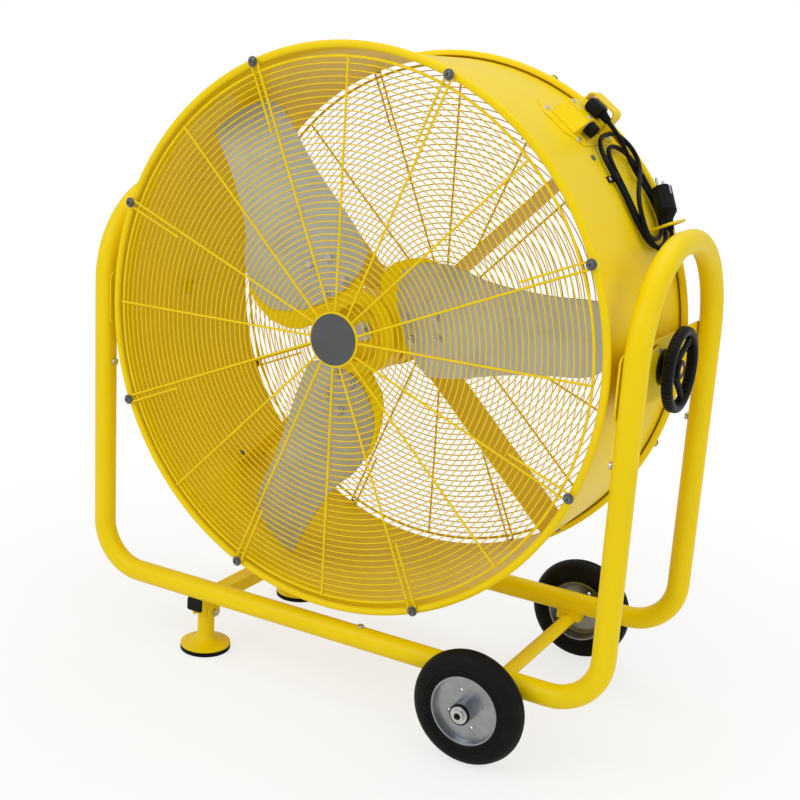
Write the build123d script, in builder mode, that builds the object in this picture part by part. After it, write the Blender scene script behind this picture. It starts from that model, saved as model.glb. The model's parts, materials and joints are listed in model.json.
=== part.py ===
"""A 36 inch drum fan on a wheeled tube frame.

The floor is z = 0, the drum's axis runs along y at AXIS_Z and the fan blows towards -y.
The wheels stand at the +x end and the feet at the -x end. Lengths are millimetres.
"""
import math
import os

from build123d import *

# ---- driving sizes -------------------------------------------------------
AXIS_Z = 665.0            # drum axis above the floor
DRUM_R = 472.0            # outside radius of the drum's skin
SKIN = 2.0                # sheet of the drum
FLARE_Y = -171.2          # where the front flare leaves the cylinder
REAR_CURL_Y = 178.0       # centre of the rear curl

TUBE_D = 40.0             # frame tube
TUBE_WALL = 2.0
LEG_X = 520.0             # frame tube centrelines
LEG_Y = 193.0
LOW_Z = 133.5
ARCH_Z = 872.0
ARCH_R = 180.0            # bend radius at the top of each side
LOW_R = 88.0              # bend radius at the floor corners

GRILLE_R = 461.0          # centreline of a grille's outer ring
RING_COUNT = 38
RING_FIRST_R = 60.0
RING_WIRE = 2.2
SPOKE_WIRE = 4.0
BOLT_RING_R = 479.0       # circle of the grille bolts
BOLT_COUNT = 8

BLADE_COUNT = 3
BLADE_ANGLE = 8.4         # where the first blade points, counter-clockwise from +x
BLADE_PITCH = 18.6
BLADE_TIP_R = 452.0
BLADE_T = 2.5

WHEEL_R = 100.0
WHEEL_W = 48.0
AXLE_X = 317.0
WHEEL_Y = 250.0

FOOT_X = -291.0
FOOT_Y = 163.0
FOOT_R = 47.5

# ---- fits and clearances -------------------------------------------------
RUN = 0.05                # running clearance, radial
SLIP = 0.2                # loose fit of a tube in a tube, radial
HOLE = 0.4                # over a screw's radius

# ---- frames of reference -------------------------------------------------
FAN_AXIS = Axis((0, 0, AXIS_Z), (0, 1, 0))
SECTION = Plane(origin=(0, 0, AXIS_Z), x_dir=(1, 0, 0), z_dir=(0, 0, 1))

os.makedirs("parts", exist_ok=True)
nodes = []


def keep(builder, name):
    """Label a finished piece and write its STEP file."""
    builder.part.label = name
    export_step(builder.part, f"parts/{name}.step")
    nodes.append(builder.part)


def polar(radius, angle, y):
    """A point at an angle round the drum's axis."""
    turn = math.radians(angle)
    return Vector(radius * math.cos(turn), y, AXIS_Z + radius * math.sin(turn))


def radial_plane(radius, angle, y):
    """A plane that faces out of the drum: local x runs along y, local y counter-clockwise."""
    turn = math.radians(angle)
    return Plane(origin=polar(radius, angle, y), x_dir=(0, 1, 0),
                 z_dir=(math.cos(turn), 0, math.sin(turn)))


def face_plane(y, facing=-1):
    """A plane square to the drum's axis, seen from the front or from the back."""
    return Plane(origin=(0, y, AXIS_Z), x_dir=(1, 0, 0), z_dir=(0, facing, 0))


def bolt_angles():
    """The angles of the bolts round each rim."""
    return [(i + 0.5) * 360 / BOLT_COUNT for i in range(BOLT_COUNT)]


# ---- frame: two bent tube halves ----------------------------------------
JOINT_X = 51.0            # where the halves meet on the two floor tubes
SLEEVE_L = 90.0
SLEEVE_WALL = 2.5
tube_r = TUBE_D / 2
bore_r = tube_r - TUBE_WALL


def frame_half(side, name):
    """One half of the frame, from the front joint over the side arch to the rear joint.

    The half at the foot end carries a spigot at each joint, and the other half slides over it.
    """
    with BuildPart() as half:
        with BuildLine() as route:
            FilletPolyline(
                (JOINT_X, -LEG_Y, LOW_Z),
                (side * LEG_X, -LEG_Y, LOW_Z),
                (side * LEG_X, -LEG_Y, ARCH_Z),
                (side * LEG_X, LEG_Y, ARCH_Z),
                (side * LEG_X, LEG_Y, LOW_Z),
                (JOINT_X, LEG_Y, LOW_Z),
                radius=[LOW_R, ARCH_R, ARCH_R, LOW_R],
            )
        start = Plane(origin=(JOINT_X, -LEG_Y, LOW_Z), z_dir=(side, 0, 0))
        with BuildSketch(start):
            Circle(tube_r)
            Circle(bore_r, mode=Mode.SUBTRACT)
        sweep(path=route.wires()[0])
        for leg in (-1, 1):
            spot = Plane(origin=(side * (LEG_X - tube_r), leg * LEG_Y, LEG_BOLT_Z),
                         z_dir=(side, 0, 0))
            with BuildSketch(spot):
                Circle(LEG_BOLT_D / 2)
            extrude(amount=2 * TUBE_WALL, mode=Mode.SUBTRACT)
            joint = Plane(origin=(JOINT_X, leg * LEG_Y, LOW_Z), z_dir=(1, 0, 0))
            screw = Plane(origin=(JOINT_SCREW_X, leg * LEG_Y, LOW_Z))
            if side < 0:
                with BuildSketch(joint):
                    Circle(spigot_r)
                    Circle(spigot_r - SLEEVE_WALL, mode=Mode.SUBTRACT)
                extrude(amount=SLEEVE_L / 2)
                with BuildSketch(joint):
                    Circle(bore_r)
                    Circle(spigot_r - SLEEVE_WALL, mode=Mode.SUBTRACT)
                extrude(amount=-SLEEVE_L / 2)
                with BuildSketch(screw):
                    Circle(JOINT_SCREW_D / 2)
                extrude(amount=tube_r, mode=Mode.SUBTRACT)
            else:
                with BuildSketch(screw):
                    Circle(JOINT_SCREW_D / 2 + HOLE)
                extrude(amount=tube_r, mode=Mode.SUBTRACT)
    keep(half, name)


JOINT_SCREW_X = JOINT_X + 20.0
JOINT_SCREW_D = 6.0
LEG_BOLT_D = 8.0
LEG_BOLT_Z = 541.0        # threaded holes on the inner side of the legs

spigot_r = bore_r - SLIP

frame_half(1, "frame_half_wheel_end")
frame_half(-1, "frame_half_foot_end")

SCREW_HEAD_D = 12.0
SCREW_HEAD_H = 3.5
# ---- foot end: cross rail, caps and two feet ----------------------------
RAIL_W = 34.0
RAIL_H = 25.0
RAIL_WALL = 2.0
RAIL_END = 198.0
CAP_T = 2.5
CAP_PLUG = 12.0
rail_top = LOW_Z - tube_r
rail_z = rail_top - RAIL_H / 2

with BuildPart() as rail_caps:
    for end in (-1, 1):
        out = Plane(origin=(FOOT_X, end * RAIL_END, rail_z), x_dir=(1, 0, 0), z_dir=(0, end, 0))
        with BuildSketch(out):
            RectangleRounded(RAIL_W, RAIL_H, 2 * RAIL_WALL)
        extrude(amount=CAP_T)
        with BuildSketch(out):
            Rectangle(RAIL_W - 2 * RAIL_WALL - SLIP, RAIL_H - 2 * RAIL_WALL - SLIP)
        extrude(amount=-CAP_PLUG)
keep(rail_caps, "rail_caps")

PAD_H = 9.0
FLANGE_T = 4.0
POST_D = 32.0
CONE_R = 20.0             # concave sweep from the foot's flange up to its post
EAR_T = 3.0
EAR_W = 34.0
EAR_DROP = 20.0
EAR_RISE = 23.0
FOOT_SCREW_D = 8.0
post_top = rail_z - RAIL_H / 2
foot_screw_z = post_top - EAR_DROP / 2


with BuildPart() as feet:
    for side in (-1, 1):
        with BuildSketch(Plane(origin=(FOOT_X, side * FOOT_Y, 0), x_dir=(1, 0, 0),
                               z_dir=(0, -1, 0))):
            with BuildLine():
                top = PAD_H + FLANGE_T
                Polyline((0, PAD_H), (FOOT_R, PAD_H), (FOOT_R, top), (POST_D / 2 + CONE_R, top + 3))
                RadiusArc((POST_D / 2 + CONE_R, top + 3), (POST_D / 2, top + 3 + CONE_R), CONE_R)
                Polyline((POST_D / 2, top + 3 + CONE_R), (POST_D / 2, post_top), (0, post_top),
                         (0, PAD_H))
            make_face()
        revolve(axis=Axis((FOOT_X, side * FOOT_Y, 0), (0, 0, 1)))
        cross = Plane(origin=(FOOT_X, side * FOOT_Y, foot_screw_z), z_dir=(1, 0, 0))
        with BuildSketch(cross):
            Circle(FOOT_SCREW_D / 2)
        extrude(amount=POST_D, both=True, mode=Mode.SUBTRACT)
keep(feet, "feet")

with BuildPart() as foot_pads:
    for side in (-1, 1):
        with BuildSketch(Plane(origin=(FOOT_X, side * FOOT_Y, 0))):
            Circle(FOOT_R + 0.5)
        extrude(amount=PAD_H)
    fillet(foot_pads.edges().group_by(Axis.Z)[0], 2)
keep(foot_pads, "foot_pads")


with BuildPart() as cross_rail:
    with BuildSketch(Plane(origin=(FOOT_X, 0, rail_z), x_dir=(1, 0, 0), z_dir=(0, 1, 0))):
        RectangleRounded(RAIL_W, RAIL_H, RAIL_WALL)
        Rectangle(RAIL_W - 2 * RAIL_WALL, RAIL_H - 2 * RAIL_WALL, mode=Mode.SUBTRACT)
    extrude(amount=RAIL_END, both=True)
    for side in (-1, 1):
        for hand in (-1, 1):
            ear = Plane(origin=(FOOT_X + hand * RAIL_W / 2, side * FOOT_Y, post_top),
                        x_dir=(0, 1, 0), z_dir=(1, 0, 0))
            with BuildSketch(ear):
                with Locations((0, (EAR_RISE - EAR_DROP) / 2)):
                    RectangleRounded(EAR_W, EAR_RISE + EAR_DROP, 7)
            extrude(amount=hand * EAR_T)
        with BuildSketch(Plane(origin=(FOOT_X, side * FOOT_Y, foot_screw_z), z_dir=(1, 0, 0))):
            Circle(FOOT_SCREW_D / 2)
        extrude(amount=RAIL_W, both=True, mode=Mode.SUBTRACT)
keep(cross_rail, "cross_rail")

FOOT_HEAD_D = 14.0
FOOT_HEAD_H = 5.0
with BuildPart() as frame_screws:
    for leg in (-1, 1):
        with BuildSketch(Plane(origin=(JOINT_SCREW_X, leg * LEG_Y, LOW_Z + tube_r))):
            Circle(SCREW_HEAD_D / 2)
        extrude(amount=SCREW_HEAD_H)
        with BuildSketch(Plane(origin=(JOINT_SCREW_X, leg * LEG_Y, LOW_Z + tube_r))):
            Circle(JOINT_SCREW_D / 2)
        extrude(amount=-(TUBE_WALL + SLIP + SLEEVE_WALL + 2))
    for side in (-1, 1):
        ear_out = RAIL_W / 2 + EAR_T
        for hand in (-1, 1):
            with BuildSketch(Plane(origin=(FOOT_X + hand * ear_out, side * FOOT_Y, foot_screw_z),
                                   z_dir=(hand, 0, 0))):
                if hand > 0:
                    Circle(FOOT_HEAD_D / 2)
                else:
                    RegularPolygon(FOOT_HEAD_D / 2, 6)
            extrude(amount=FOOT_HEAD_H)
        with BuildSketch(Plane(origin=(FOOT_X, side * FOOT_Y, foot_screw_z), z_dir=(1, 0, 0))):
            Circle(FOOT_SCREW_D / 2)
        extrude(amount=ear_out, both=True)
keep(frame_screws, "frame_screws")

# ---- wheel end: axle tube, saddles, axle and wheels ---------------------
AXLE_TUBE_D = 25.0
AXLE_D = 20.0
AXLE_BORE_D = 12.0
AXLE_END = 292.0
axle_tube_end = LEG_Y + tube_r + 1
HUB_HALF = 31.0
BUSH_FLANGE_T = 4.0
BUSH_FLANGE_R = 18.0
HUB_TUBE_R = 19.0
HUB_TUBE_BORE = 15.5
along_y = Plane(origin=(AXLE_X, 0, WHEEL_R), x_dir=(1, 0, 0), z_dir=(0, 1, 0))

SADDLE_X = 46.0
SADDLE_Y = 28.0
with BuildPart() as axle_tube:
    with BuildSketch(along_y):
        Circle(AXLE_TUBE_D / 2)
    extrude(amount=axle_tube_end, both=True)
    for side in (-1, 1):
        with BuildSketch(Plane(origin=(AXLE_X, side * LEG_Y, WHEEL_R))):
            Rectangle(SADDLE_X, SADDLE_Y)
        extrude(amount=LOW_Z - WHEEL_R)
        with BuildSketch(Plane(origin=(AXLE_X, side * LEG_Y, LOW_Z), z_dir=(1, 0, 0))):
            Circle(tube_r)
        extrude(amount=SADDLE_X, both=True, mode=Mode.SUBTRACT)
    with BuildSketch(along_y):
        Circle(AXLE_D / 2 + SLIP)
    extrude(amount=axle_tube_end, both=True, mode=Mode.SUBTRACT)
keep(axle_tube, "axle_tube")

with BuildPart() as axle:
    with BuildSketch(along_y):
        Circle(AXLE_D / 2)
        Circle(AXLE_BORE_D / 2, mode=Mode.SUBTRACT)
    extrude(amount=AXLE_END, both=True)
keep(axle, "axle")

RIM_R = 57.0
RIM_T = 3.0
RIM_LIP = 4.0
DISC_STEP_R = 46.0        # where the pressed disc turns into its deep wall
SPACER_R = 15.0
RING_T = 1.5
RING_R = 15.0
CROWN_R = WHEEL_R - 0.6   # tread beside the parting rib
RIB_W = 2.4
SIDE_GROOVES = (66.0, 71.0)
hub_outer = WHEEL_Y + HUB_HALF + BUSH_FLANGE_T
hub_inner = WHEEL_Y - HUB_HALF - BUSH_FLANGE_T


def wheel_section(side):
    """A sketch plane through the axle: local x is radius, local y runs outwards from the wheel."""
    return Plane(origin=(AXLE_X, side * WHEEL_Y, WHEEL_R), x_dir=(1, 0, 0), z_dir=(0, 0, side))


def wheel(side, end):
    """Tyre, pressed rim with its hub tube, and the two plain bushes of one wheel."""
    spin = Axis((AXLE_X, side * WHEEL_Y, WHEEL_R), (0, 1, 0))
    half = WHEEL_W / 2
    with BuildPart() as tyre:
        with BuildSketch(wheel_section(side)):
            with BuildLine():
                Line((RIM_R + RIM_T, -half + 4), (RIM_R + RIM_T, half - 4))
                ThreePointArc((RIM_R + RIM_T, half - 4), (67, half - 0.5), (76, half - 1))
                ThreePointArc((76, half - 1), (90.5, half - 6), (97, 10.5))
                ThreePointArc((97, 10.5), (CROWN_R, 0), (97, -10.5))
                ThreePointArc((97, -10.5), (90.5, -half + 6), (76, -half + 1))
                ThreePointArc((76, -half + 1), (67, -half + 0.5), (RIM_R + RIM_T, -half + 4))
            make_face()
            with Locations((WHEEL_R - RIB_W / 2, 0)):
                Rectangle(RIB_W, RIB_W)
            for radius in SIDE_GROOVES:
                with Locations((radius, half), (radius, -half)):
                    Rectangle(1, 2, mode=Mode.SUBTRACT)
        revolve(axis=spin)
    keep(tyre, f"tyre_{end}")

    with BuildPart() as rim:
        with BuildSketch(wheel_section(side)):
            with BuildLine():
                Polyline((RIM_R + RIM_T, -half + 4), (RIM_R, -half + 4), (RIM_R - RIM_LIP, 0),
                         (DISC_STEP_R, 6), (HUB_TUBE_R, 6), (HUB_TUBE_R, 6 + RIM_T),
                         (DISC_STEP_R + 1, 6 + RIM_T), (RIM_R - 1, 6 + RIM_T),
                         (RIM_R, half - 4), (RIM_R + RIM_T, half - 4), close=True)
            make_face()
            with Locations(((HUB_TUBE_R + HUB_TUBE_BORE) / 2, 0)):
                Rectangle(HUB_TUBE_R - HUB_TUBE_BORE, 2 * HUB_HALF)
        revolve(axis=spin)
        disc = Plane(origin=(AXLE_X, side * WHEEL_Y, WHEEL_R), x_dir=(1, 0, 0), z_dir=(0, side, 0))
        with BuildSketch(disc):
            with PolarLocations(33, 4, start_angle=20):
                Circle(3)
        extrude(amount=half, mode=Mode.SUBTRACT)
    keep(rim, f"wheel_rim_{end}")

    with BuildPart() as bushes:
        for end_side in (-1, 1):
            inner = Plane(origin=(AXLE_X, side * WHEEL_Y, WHEEL_R), x_dir=(1, 0, 0),
                          z_dir=(0, end_side, 0)).offset(HUB_HALF)
            with BuildSketch(inner):
                Circle(BUSH_FLANGE_R)
            extrude(amount=BUSH_FLANGE_T)
            with BuildSketch(inner):
                Circle(HUB_TUBE_BORE)
            extrude(amount=-14)
        with BuildSketch(disc):
            Circle(AXLE_D / 2 + RUN)
        extrude(amount=HUB_HALF + BUSH_FLANGE_T, both=True, mode=Mode.SUBTRACT)
    keep(bushes, f"wheel_bushes_{end}")


wheel(-1, "front")
wheel(1, "rear")

with BuildPart() as axle_spacers:
    for side in (-1, 1):
        with BuildSketch(along_y.offset(side * (axle_tube_end + 0.3))):
            Circle(SPACER_R)
            Circle(AXLE_D / 2, mode=Mode.SUBTRACT)
        extrude(amount=side * (hub_inner - axle_tube_end - 0.6))
        with BuildSketch(along_y.offset(side * (hub_outer + 0.3))):
            Circle(RING_R)
            Circle(AXLE_D / 2, mode=Mode.SUBTRACT)
        extrude(amount=side * RING_T)
keep(axle_spacers, "axle_spacers_and_rings")

# ---- side plates that carry the drum ------------------------------------
PLATE_T = 3.0
PLATE_TOP = 50.0          # above the drum's axis
PLATE_BOTTOM = 53.0       # below it
PLATE_HALF = 206.0
PLATE_CORNER = 16.0
PLATE_SLOT = (34.0, 8.0)
PLATE_SLOT_AT = (-44.0, 40.0)
PLATE_SCREW_AT = (-23.0, 31.0)
PLATE_SCREW_D = 5.0
PIVOT_BUSH_R = 14.0
PIVOT_D = 16.0
plate_in = LEG_X - tube_r - PLATE_T


with BuildPart() as side_plates:
    for side in (-1, 1):
        face = Plane(origin=(side * plate_in, 0, AXIS_Z), x_dir=(0, 1, 0), z_dir=(1, 0, 0))
        with BuildSketch(face):
            with Locations((0, (PLATE_TOP - PLATE_BOTTOM) / 2)):
                RectangleRounded(2 * PLATE_HALF, PLATE_TOP + PLATE_BOTTOM, PLATE_CORNER)
            Circle(PIVOT_BUSH_R, mode=Mode.SUBTRACT)
            with Locations(PLATE_SLOT_AT):
                SlotOverall(PLATE_SLOT[0], PLATE_SLOT[1], mode=Mode.SUBTRACT)
            with Locations(PLATE_SCREW_AT):
                Circle(PLATE_SCREW_D / 2, mode=Mode.SUBTRACT)
        extrude(amount=side * PLATE_T)
keep(side_plates, "side_plates")

LEG_HEAD_D = 13.0
LEG_HEAD_H = 5.0
LEG_BOLT_L = 14.0
with BuildPart() as leg_bolts:
    for side in (-1, 1):
        for leg in (-1, 1):
            base = Plane(origin=(side * (LEG_X - tube_r), leg * LEG_Y, LEG_BOLT_Z),
                         z_dir=(side, 0, 0))
            with BuildSketch(base):
                Circle(LEG_BOLT_D / 2)
            extrude(amount=LEG_BOLT_L)
            with BuildSketch(base):
                Circle(LEG_HEAD_D / 2)
            extrude(amount=-LEG_HEAD_H)
        outer = Plane(origin=(side * (plate_in + PLATE_T), 0, AXIS_Z), x_dir=(0, 1, 0),
                      z_dir=(1, 0, 0))
        with BuildSketch(outer):
            with Locations(PLATE_SCREW_AT):
                Circle(PLATE_SCREW_D)
        extrude(amount=side * 2.5)
        with BuildSketch(outer):
            with Locations(PLATE_SCREW_AT):
                Circle(PLATE_SCREW_D / 2)
        extrude(amount=-side * (PLATE_T + 2))
keep(leg_bolts, "leg_bolts")

# ---- drum skin -----------------------------------------------------------
FLARE_R = 43.2
FLARE_TURN = 45.0
FRONT_CURL_R = 5.8        # centreline radius of the rolled front edge
REAR_CURL_R = 7.0
skin_mid = DRUM_R - SKIN / 2
flare = math.radians(FLARE_TURN)
curl_x = (skin_mid + FLARE_R * (1 - math.cos(flare)) - FRONT_CURL_R * math.cos(flare))
curl_y = FLARE_Y - FLARE_R * math.sin(flare) - FRONT_CURL_R * math.sin(flare)
front_face = curl_y - FRONT_CURL_R - SKIN / 2
rear_face = REAR_CURL_Y + REAR_CURL_R + SKIN / 2

ARM_SCREW_D = 6.0
ARM_SCREW_Y = (5.0, 62.0)
ARM_SCREW_SHIFT = -1.7    # degrees off the arm's own angle
ARM_COUNT = 4
GRILLE_BOLT_D = 6.0
WIRE_HOLE_D = 12.0
WIRE_HOLE_ANGLE = 50.5
WIRE_HOLE_Y = 66.0
BASE_SCREW_D = 5.0
BASE_SCREWS = ((57.2, -1.0), (47.8, -1.0), (57.6, 127.5), (47.9, 127.5))
BRACKET_T = 3.0
CLIP_SCREW = (38.0, 13.0)
CLIP_SCREW_D = 4.0


def arm_angles():
    """The angles of the motor's arms."""
    return [(i + 0.5) * 360 / ARM_COUNT for i in range(ARM_COUNT)]


with BuildPart() as drum:
    with BuildSketch(SECTION):
        with BuildLine():
            back = JernArc((skin_mid, REAR_CURL_Y), (0, 1), REAR_CURL_R, -285)
            wall = Line((skin_mid, REAR_CURL_Y), (skin_mid, FLARE_Y))
            sweep_out = JernArc(wall @ 1, wall % 1, FLARE_R, FLARE_TURN)
            curl = JernArc(sweep_out @ 1, sweep_out % 1, FRONT_CURL_R, -285)
        trace(line_width=SKIN)
    revolve(axis=FAN_AXIS)
    for angle in bolt_angles():
        for y, facing in ((front_face, 1), (rear_face, -1)):
            spot = Plane(origin=polar(BOLT_RING_R, angle, y), z_dir=(0, facing, 0))
            with BuildSketch(spot):
                Circle(GRILLE_BOLT_D / 2 + HOLE)
            extrude(amount=SKIN * 2.5, both=True, mode=Mode.SUBTRACT)
    for angle in arm_angles():
        for y in ARM_SCREW_Y:
            with BuildSketch(radial_plane(DRUM_R, angle + ARM_SCREW_SHIFT, y)):
                Circle(ARM_SCREW_D / 2 + HOLE)
            extrude(amount=SKIN * 3, both=True, mode=Mode.SUBTRACT)
    with BuildSketch(radial_plane(DRUM_R, WIRE_HOLE_ANGLE, WIRE_HOLE_Y)):
        Circle(WIRE_HOLE_D / 2)
    extrude(amount=SKIN * 3, both=True, mode=Mode.SUBTRACT)
    for angle, y in (*BASE_SCREWS, CLIP_SCREW):
        with BuildSketch(radial_plane(DRUM_R, angle, y)):
            Circle(BASE_SCREW_D / 2 + HOLE)
        extrude(amount=SKIN * 3, both=True, mode=Mode.SUBTRACT)
    for side in (0, 180):
        with BuildSketch(radial_plane(DRUM_R, side, 0)):
            Circle(PIVOT_D / 2 + HOLE)
        extrude(amount=SKIN * 3, both=True, mode=Mode.SUBTRACT)
keep(drum, "drum_shell")

# ---- grilles -------------------------------------------------------------
GRILLE_HUB_R = 47.5
GRILLE_HUB_T = 2.0
COVER_R = 44.0
COVER_T = 2.0
SPOKE_COUNT = 2 * BOLT_COUNT
EYE_R = GRILLE_BOLT_D / 2 + SPOKE_WIRE / 2 + 1.0
EYE_LEG = 120.0           # return leg of the wire round each bolt
EYE_CLOSE = 1.2           # how far that leg closes in on the spoke
WELD = 0.7                # how far a ring sinks into a spoke
OUTER_WIRE = 5.0
ring_step = (GRILLE_R - RING_FIRST_R) / RING_COUNT
spoke_front = front_face - SPOKE_WIRE / 2
spoke_rear = rear_face + SPOKE_WIRE / 2
hub_wire_r = GRILLE_HUB_R / 2

with BuildPart() as eye_wire:
    with BuildLine(Plane.XZ) as bend:
        out = Line((hub_wire_r, -EYE_R), (BOLT_RING_R, -EYE_R))
        loop = ThreePointArc(out @ 1, (BOLT_RING_R + EYE_R, 0), (BOLT_RING_R, EYE_R))
        Line(loop @ 1, (BOLT_RING_R - EYE_LEG, EYE_R - EYE_CLOSE))
    with BuildSketch(Plane(origin=(hub_wire_r, 0, -EYE_R), z_dir=(1, 0, 0))):
        Circle(SPOKE_WIRE / 2)
    sweep(path=bend.wires()[0])

with BuildPart() as plain_wire:
    with BuildSketch(Plane(origin=(hub_wire_r, 0, 0), z_dir=(1, 0, 0))):
        Circle(SPOKE_WIRE / 2)
    extrude(amount=GRILLE_R + 1 - hub_wire_r)

wires = []
for i in range(SPOKE_COUNT):
    wire = plain_wire.part if i % 2 == 0 else eye_wire.part
    wires.append(Pos(0, spoke_front, AXIS_Z) * Rot(0, -i * 360 / SPOKE_COUNT, 0) * wire)

ring_y = spoke_front + SPOKE_WIRE / 2 + RING_WIRE / 2 - WELD
outer_y = spoke_front + SPOKE_WIRE / 2 + OUTER_WIRE / 2 - WELD
with BuildPart() as grille_front:
    with BuildSketch(SECTION):
        for i in range(RING_COUNT):
            with Locations((RING_FIRST_R + i * ring_step, ring_y)):
                Rectangle(RING_WIRE, RING_WIRE)
        with Locations((GRILLE_R, outer_y)):
            Rectangle(OUTER_WIRE, OUTER_WIRE)
    revolve(axis=FAN_AXIS)
    add(wires)
    with BuildSketch(face_plane(spoke_front - SPOKE_WIRE / 2 + WELD)):
        Circle(GRILLE_HUB_R)
    extrude(amount=GRILLE_HUB_T)
keep(grille_front, "grille_front")

middle = Plane(origin=(0, (spoke_front + spoke_rear) / 2, AXIS_Z), z_dir=(0, 1, 0))
rear_net = grille_front.part.mirror(middle)
with BuildPart() as grille_rear:
    add(rear_net)
keep(grille_rear, "grille_rear")

hub_face = spoke_front - SPOKE_WIRE / 2 + WELD - GRILLE_HUB_T
with BuildPart() as hub_cover:
    with BuildSketch(face_plane(hub_face)):
        Circle(COVER_R)
    extrude(amount=COVER_T)
    chamfer(hub_cover.faces().sort_by(Axis.Y)[0].edges(), 0.8)
keep(hub_cover, "grille_hub_cover")

WASHER_T = 1.6
WASHER_R = 9.0
BOLT_HEAD_R = 6.5
BOLT_HEAD_H = 4.5
NUT_AT = 4.9              # from the rim's face to the nut inside the curl
NUT_T = 4.0
NUT_R = 3.6
SOCKET_R = 2.6
SOCKET_DEEP = 2.5
wire_out = SPOKE_WIRE


with BuildPart() as grille_bolts:
    for face, facing in ((front_face, -1), (rear_face, 1)):
        for angle in bolt_angles():
            seat = Plane(origin=polar(BOLT_RING_R, angle, face), z_dir=(0, facing, 0))
            with BuildSketch(seat.offset(wire_out)):
                Circle(WASHER_R)
            extrude(amount=WASHER_T)
            with BuildSketch(seat.offset(wire_out + WASHER_T)):
                Circle(BOLT_HEAD_R)
            extrude(amount=BOLT_HEAD_H, taper=18)
            with BuildSketch(seat.offset(wire_out + WASHER_T + BOLT_HEAD_H)):
                RegularPolygon(SOCKET_R, 6)
            extrude(amount=-SOCKET_DEEP, mode=Mode.SUBTRACT)
            with BuildSketch(seat.offset(-NUT_AT - NUT_T)):
                Circle(GRILLE_BOLT_D / 2)
            extrude(amount=NUT_AT + NUT_T + wire_out + WASHER_T)
            with BuildSketch(seat.offset(-NUT_AT)):
                RegularPolygon(NUT_R, 6)
            extrude(amount=-NUT_T)
keep(grille_bolts, "grille_bolts")

# ---- pivots, washers and handwheels -------------------------------------
PAD_OUT = 482.0           # outer face of the pads on the drum
PAD_SIZE = 64.0
PIVOT_HEAD_R = 13.0
PIVOT_HEAD_H = 9.0
PIVOT_END = 534.0
FRICTION_R = 27.0
BUSH_COLLAR_R = 21.0
BUSH_COLLAR_T = 2.0
GAP = 0.2                 # end float between parts that turn on each other
CLAMP_R = 30.0
CLAMP_T = 3.5
WHEEL_HUB_R = 18.0
HAND_RIM_R = 64.0         # centreline of the handwheel's rim
HAND_RIM_X = 531.0
HAND_RIM_AXIAL = 20.0
HAND_RIM_RADIAL = 16.0
HAND_SPOKE_W = 15.0
HAND_SPOKE_T = 8.0
HAND_SPOKES = 3
GRIPS = 24
plate_out = plate_in + PLATE_T
collar_out = plate_out + BUSH_COLLAR_T
clamp_in = collar_out + GAP
hand_in = clamp_in + CLAMP_T + GAP
skin_in = DRUM_R - SKIN


def pivot(angle, side):
    """A plane square to the tilt axis on one side; local x runs along y."""
    return radial_plane(side, angle, 0)


with BuildPart() as pivot_studs:
    for angle in (0, 180):
        with BuildSketch(pivot(angle, PAD_OUT)):
            RectangleRounded(PAD_SIZE, PAD_SIZE, 8)
        extrude(amount=-(PAD_OUT - DRUM_R) - 4)
    with BuildSketch(face_plane(0)):
        Circle(DRUM_R)
    extrude(amount=PAD_SIZE, both=True, mode=Mode.SUBTRACT)
    for angle in (0, 180):
        with BuildSketch(pivot(angle, skin_in - PIVOT_HEAD_H)):
            Circle(PIVOT_D / 2)
        extrude(amount=PIVOT_END - skin_in + PIVOT_HEAD_H)
        with BuildSketch(pivot(angle, skin_in - 1)):
            Circle(PIVOT_HEAD_R)
        extrude(amount=-PIVOT_HEAD_H)
keep(pivot_studs, "pivot_studs")

with BuildPart() as pivot_bushes:
    for angle in (0, 180):
        with BuildSketch(pivot(angle, plate_in)):
            Circle(PIVOT_BUSH_R)
            Circle(PIVOT_D / 2 + RUN, mode=Mode.SUBTRACT)
        extrude(amount=PLATE_T)
        with BuildSketch(pivot(angle, plate_out)):
            Circle(BUSH_COLLAR_R)
            Circle(PIVOT_D / 2 + RUN, mode=Mode.SUBTRACT)
        extrude(amount=BUSH_COLLAR_T)
keep(pivot_bushes, "pivot_bushes")

with BuildPart() as pivot_washers:
    for angle in (0, 180):
        with BuildSketch(pivot(angle, PAD_OUT)):
            Circle(FRICTION_R)
            Circle(PIVOT_D / 2, mode=Mode.SUBTRACT)
        extrude(amount=plate_in - GAP - PAD_OUT)
        with BuildSketch(pivot(angle, clamp_in)):
            Circle(CLAMP_R)
            Circle(PIVOT_D / 2, mode=Mode.SUBTRACT)
        extrude(amount=CLAMP_T)
keep(pivot_washers, "pivot_washers")


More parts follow.
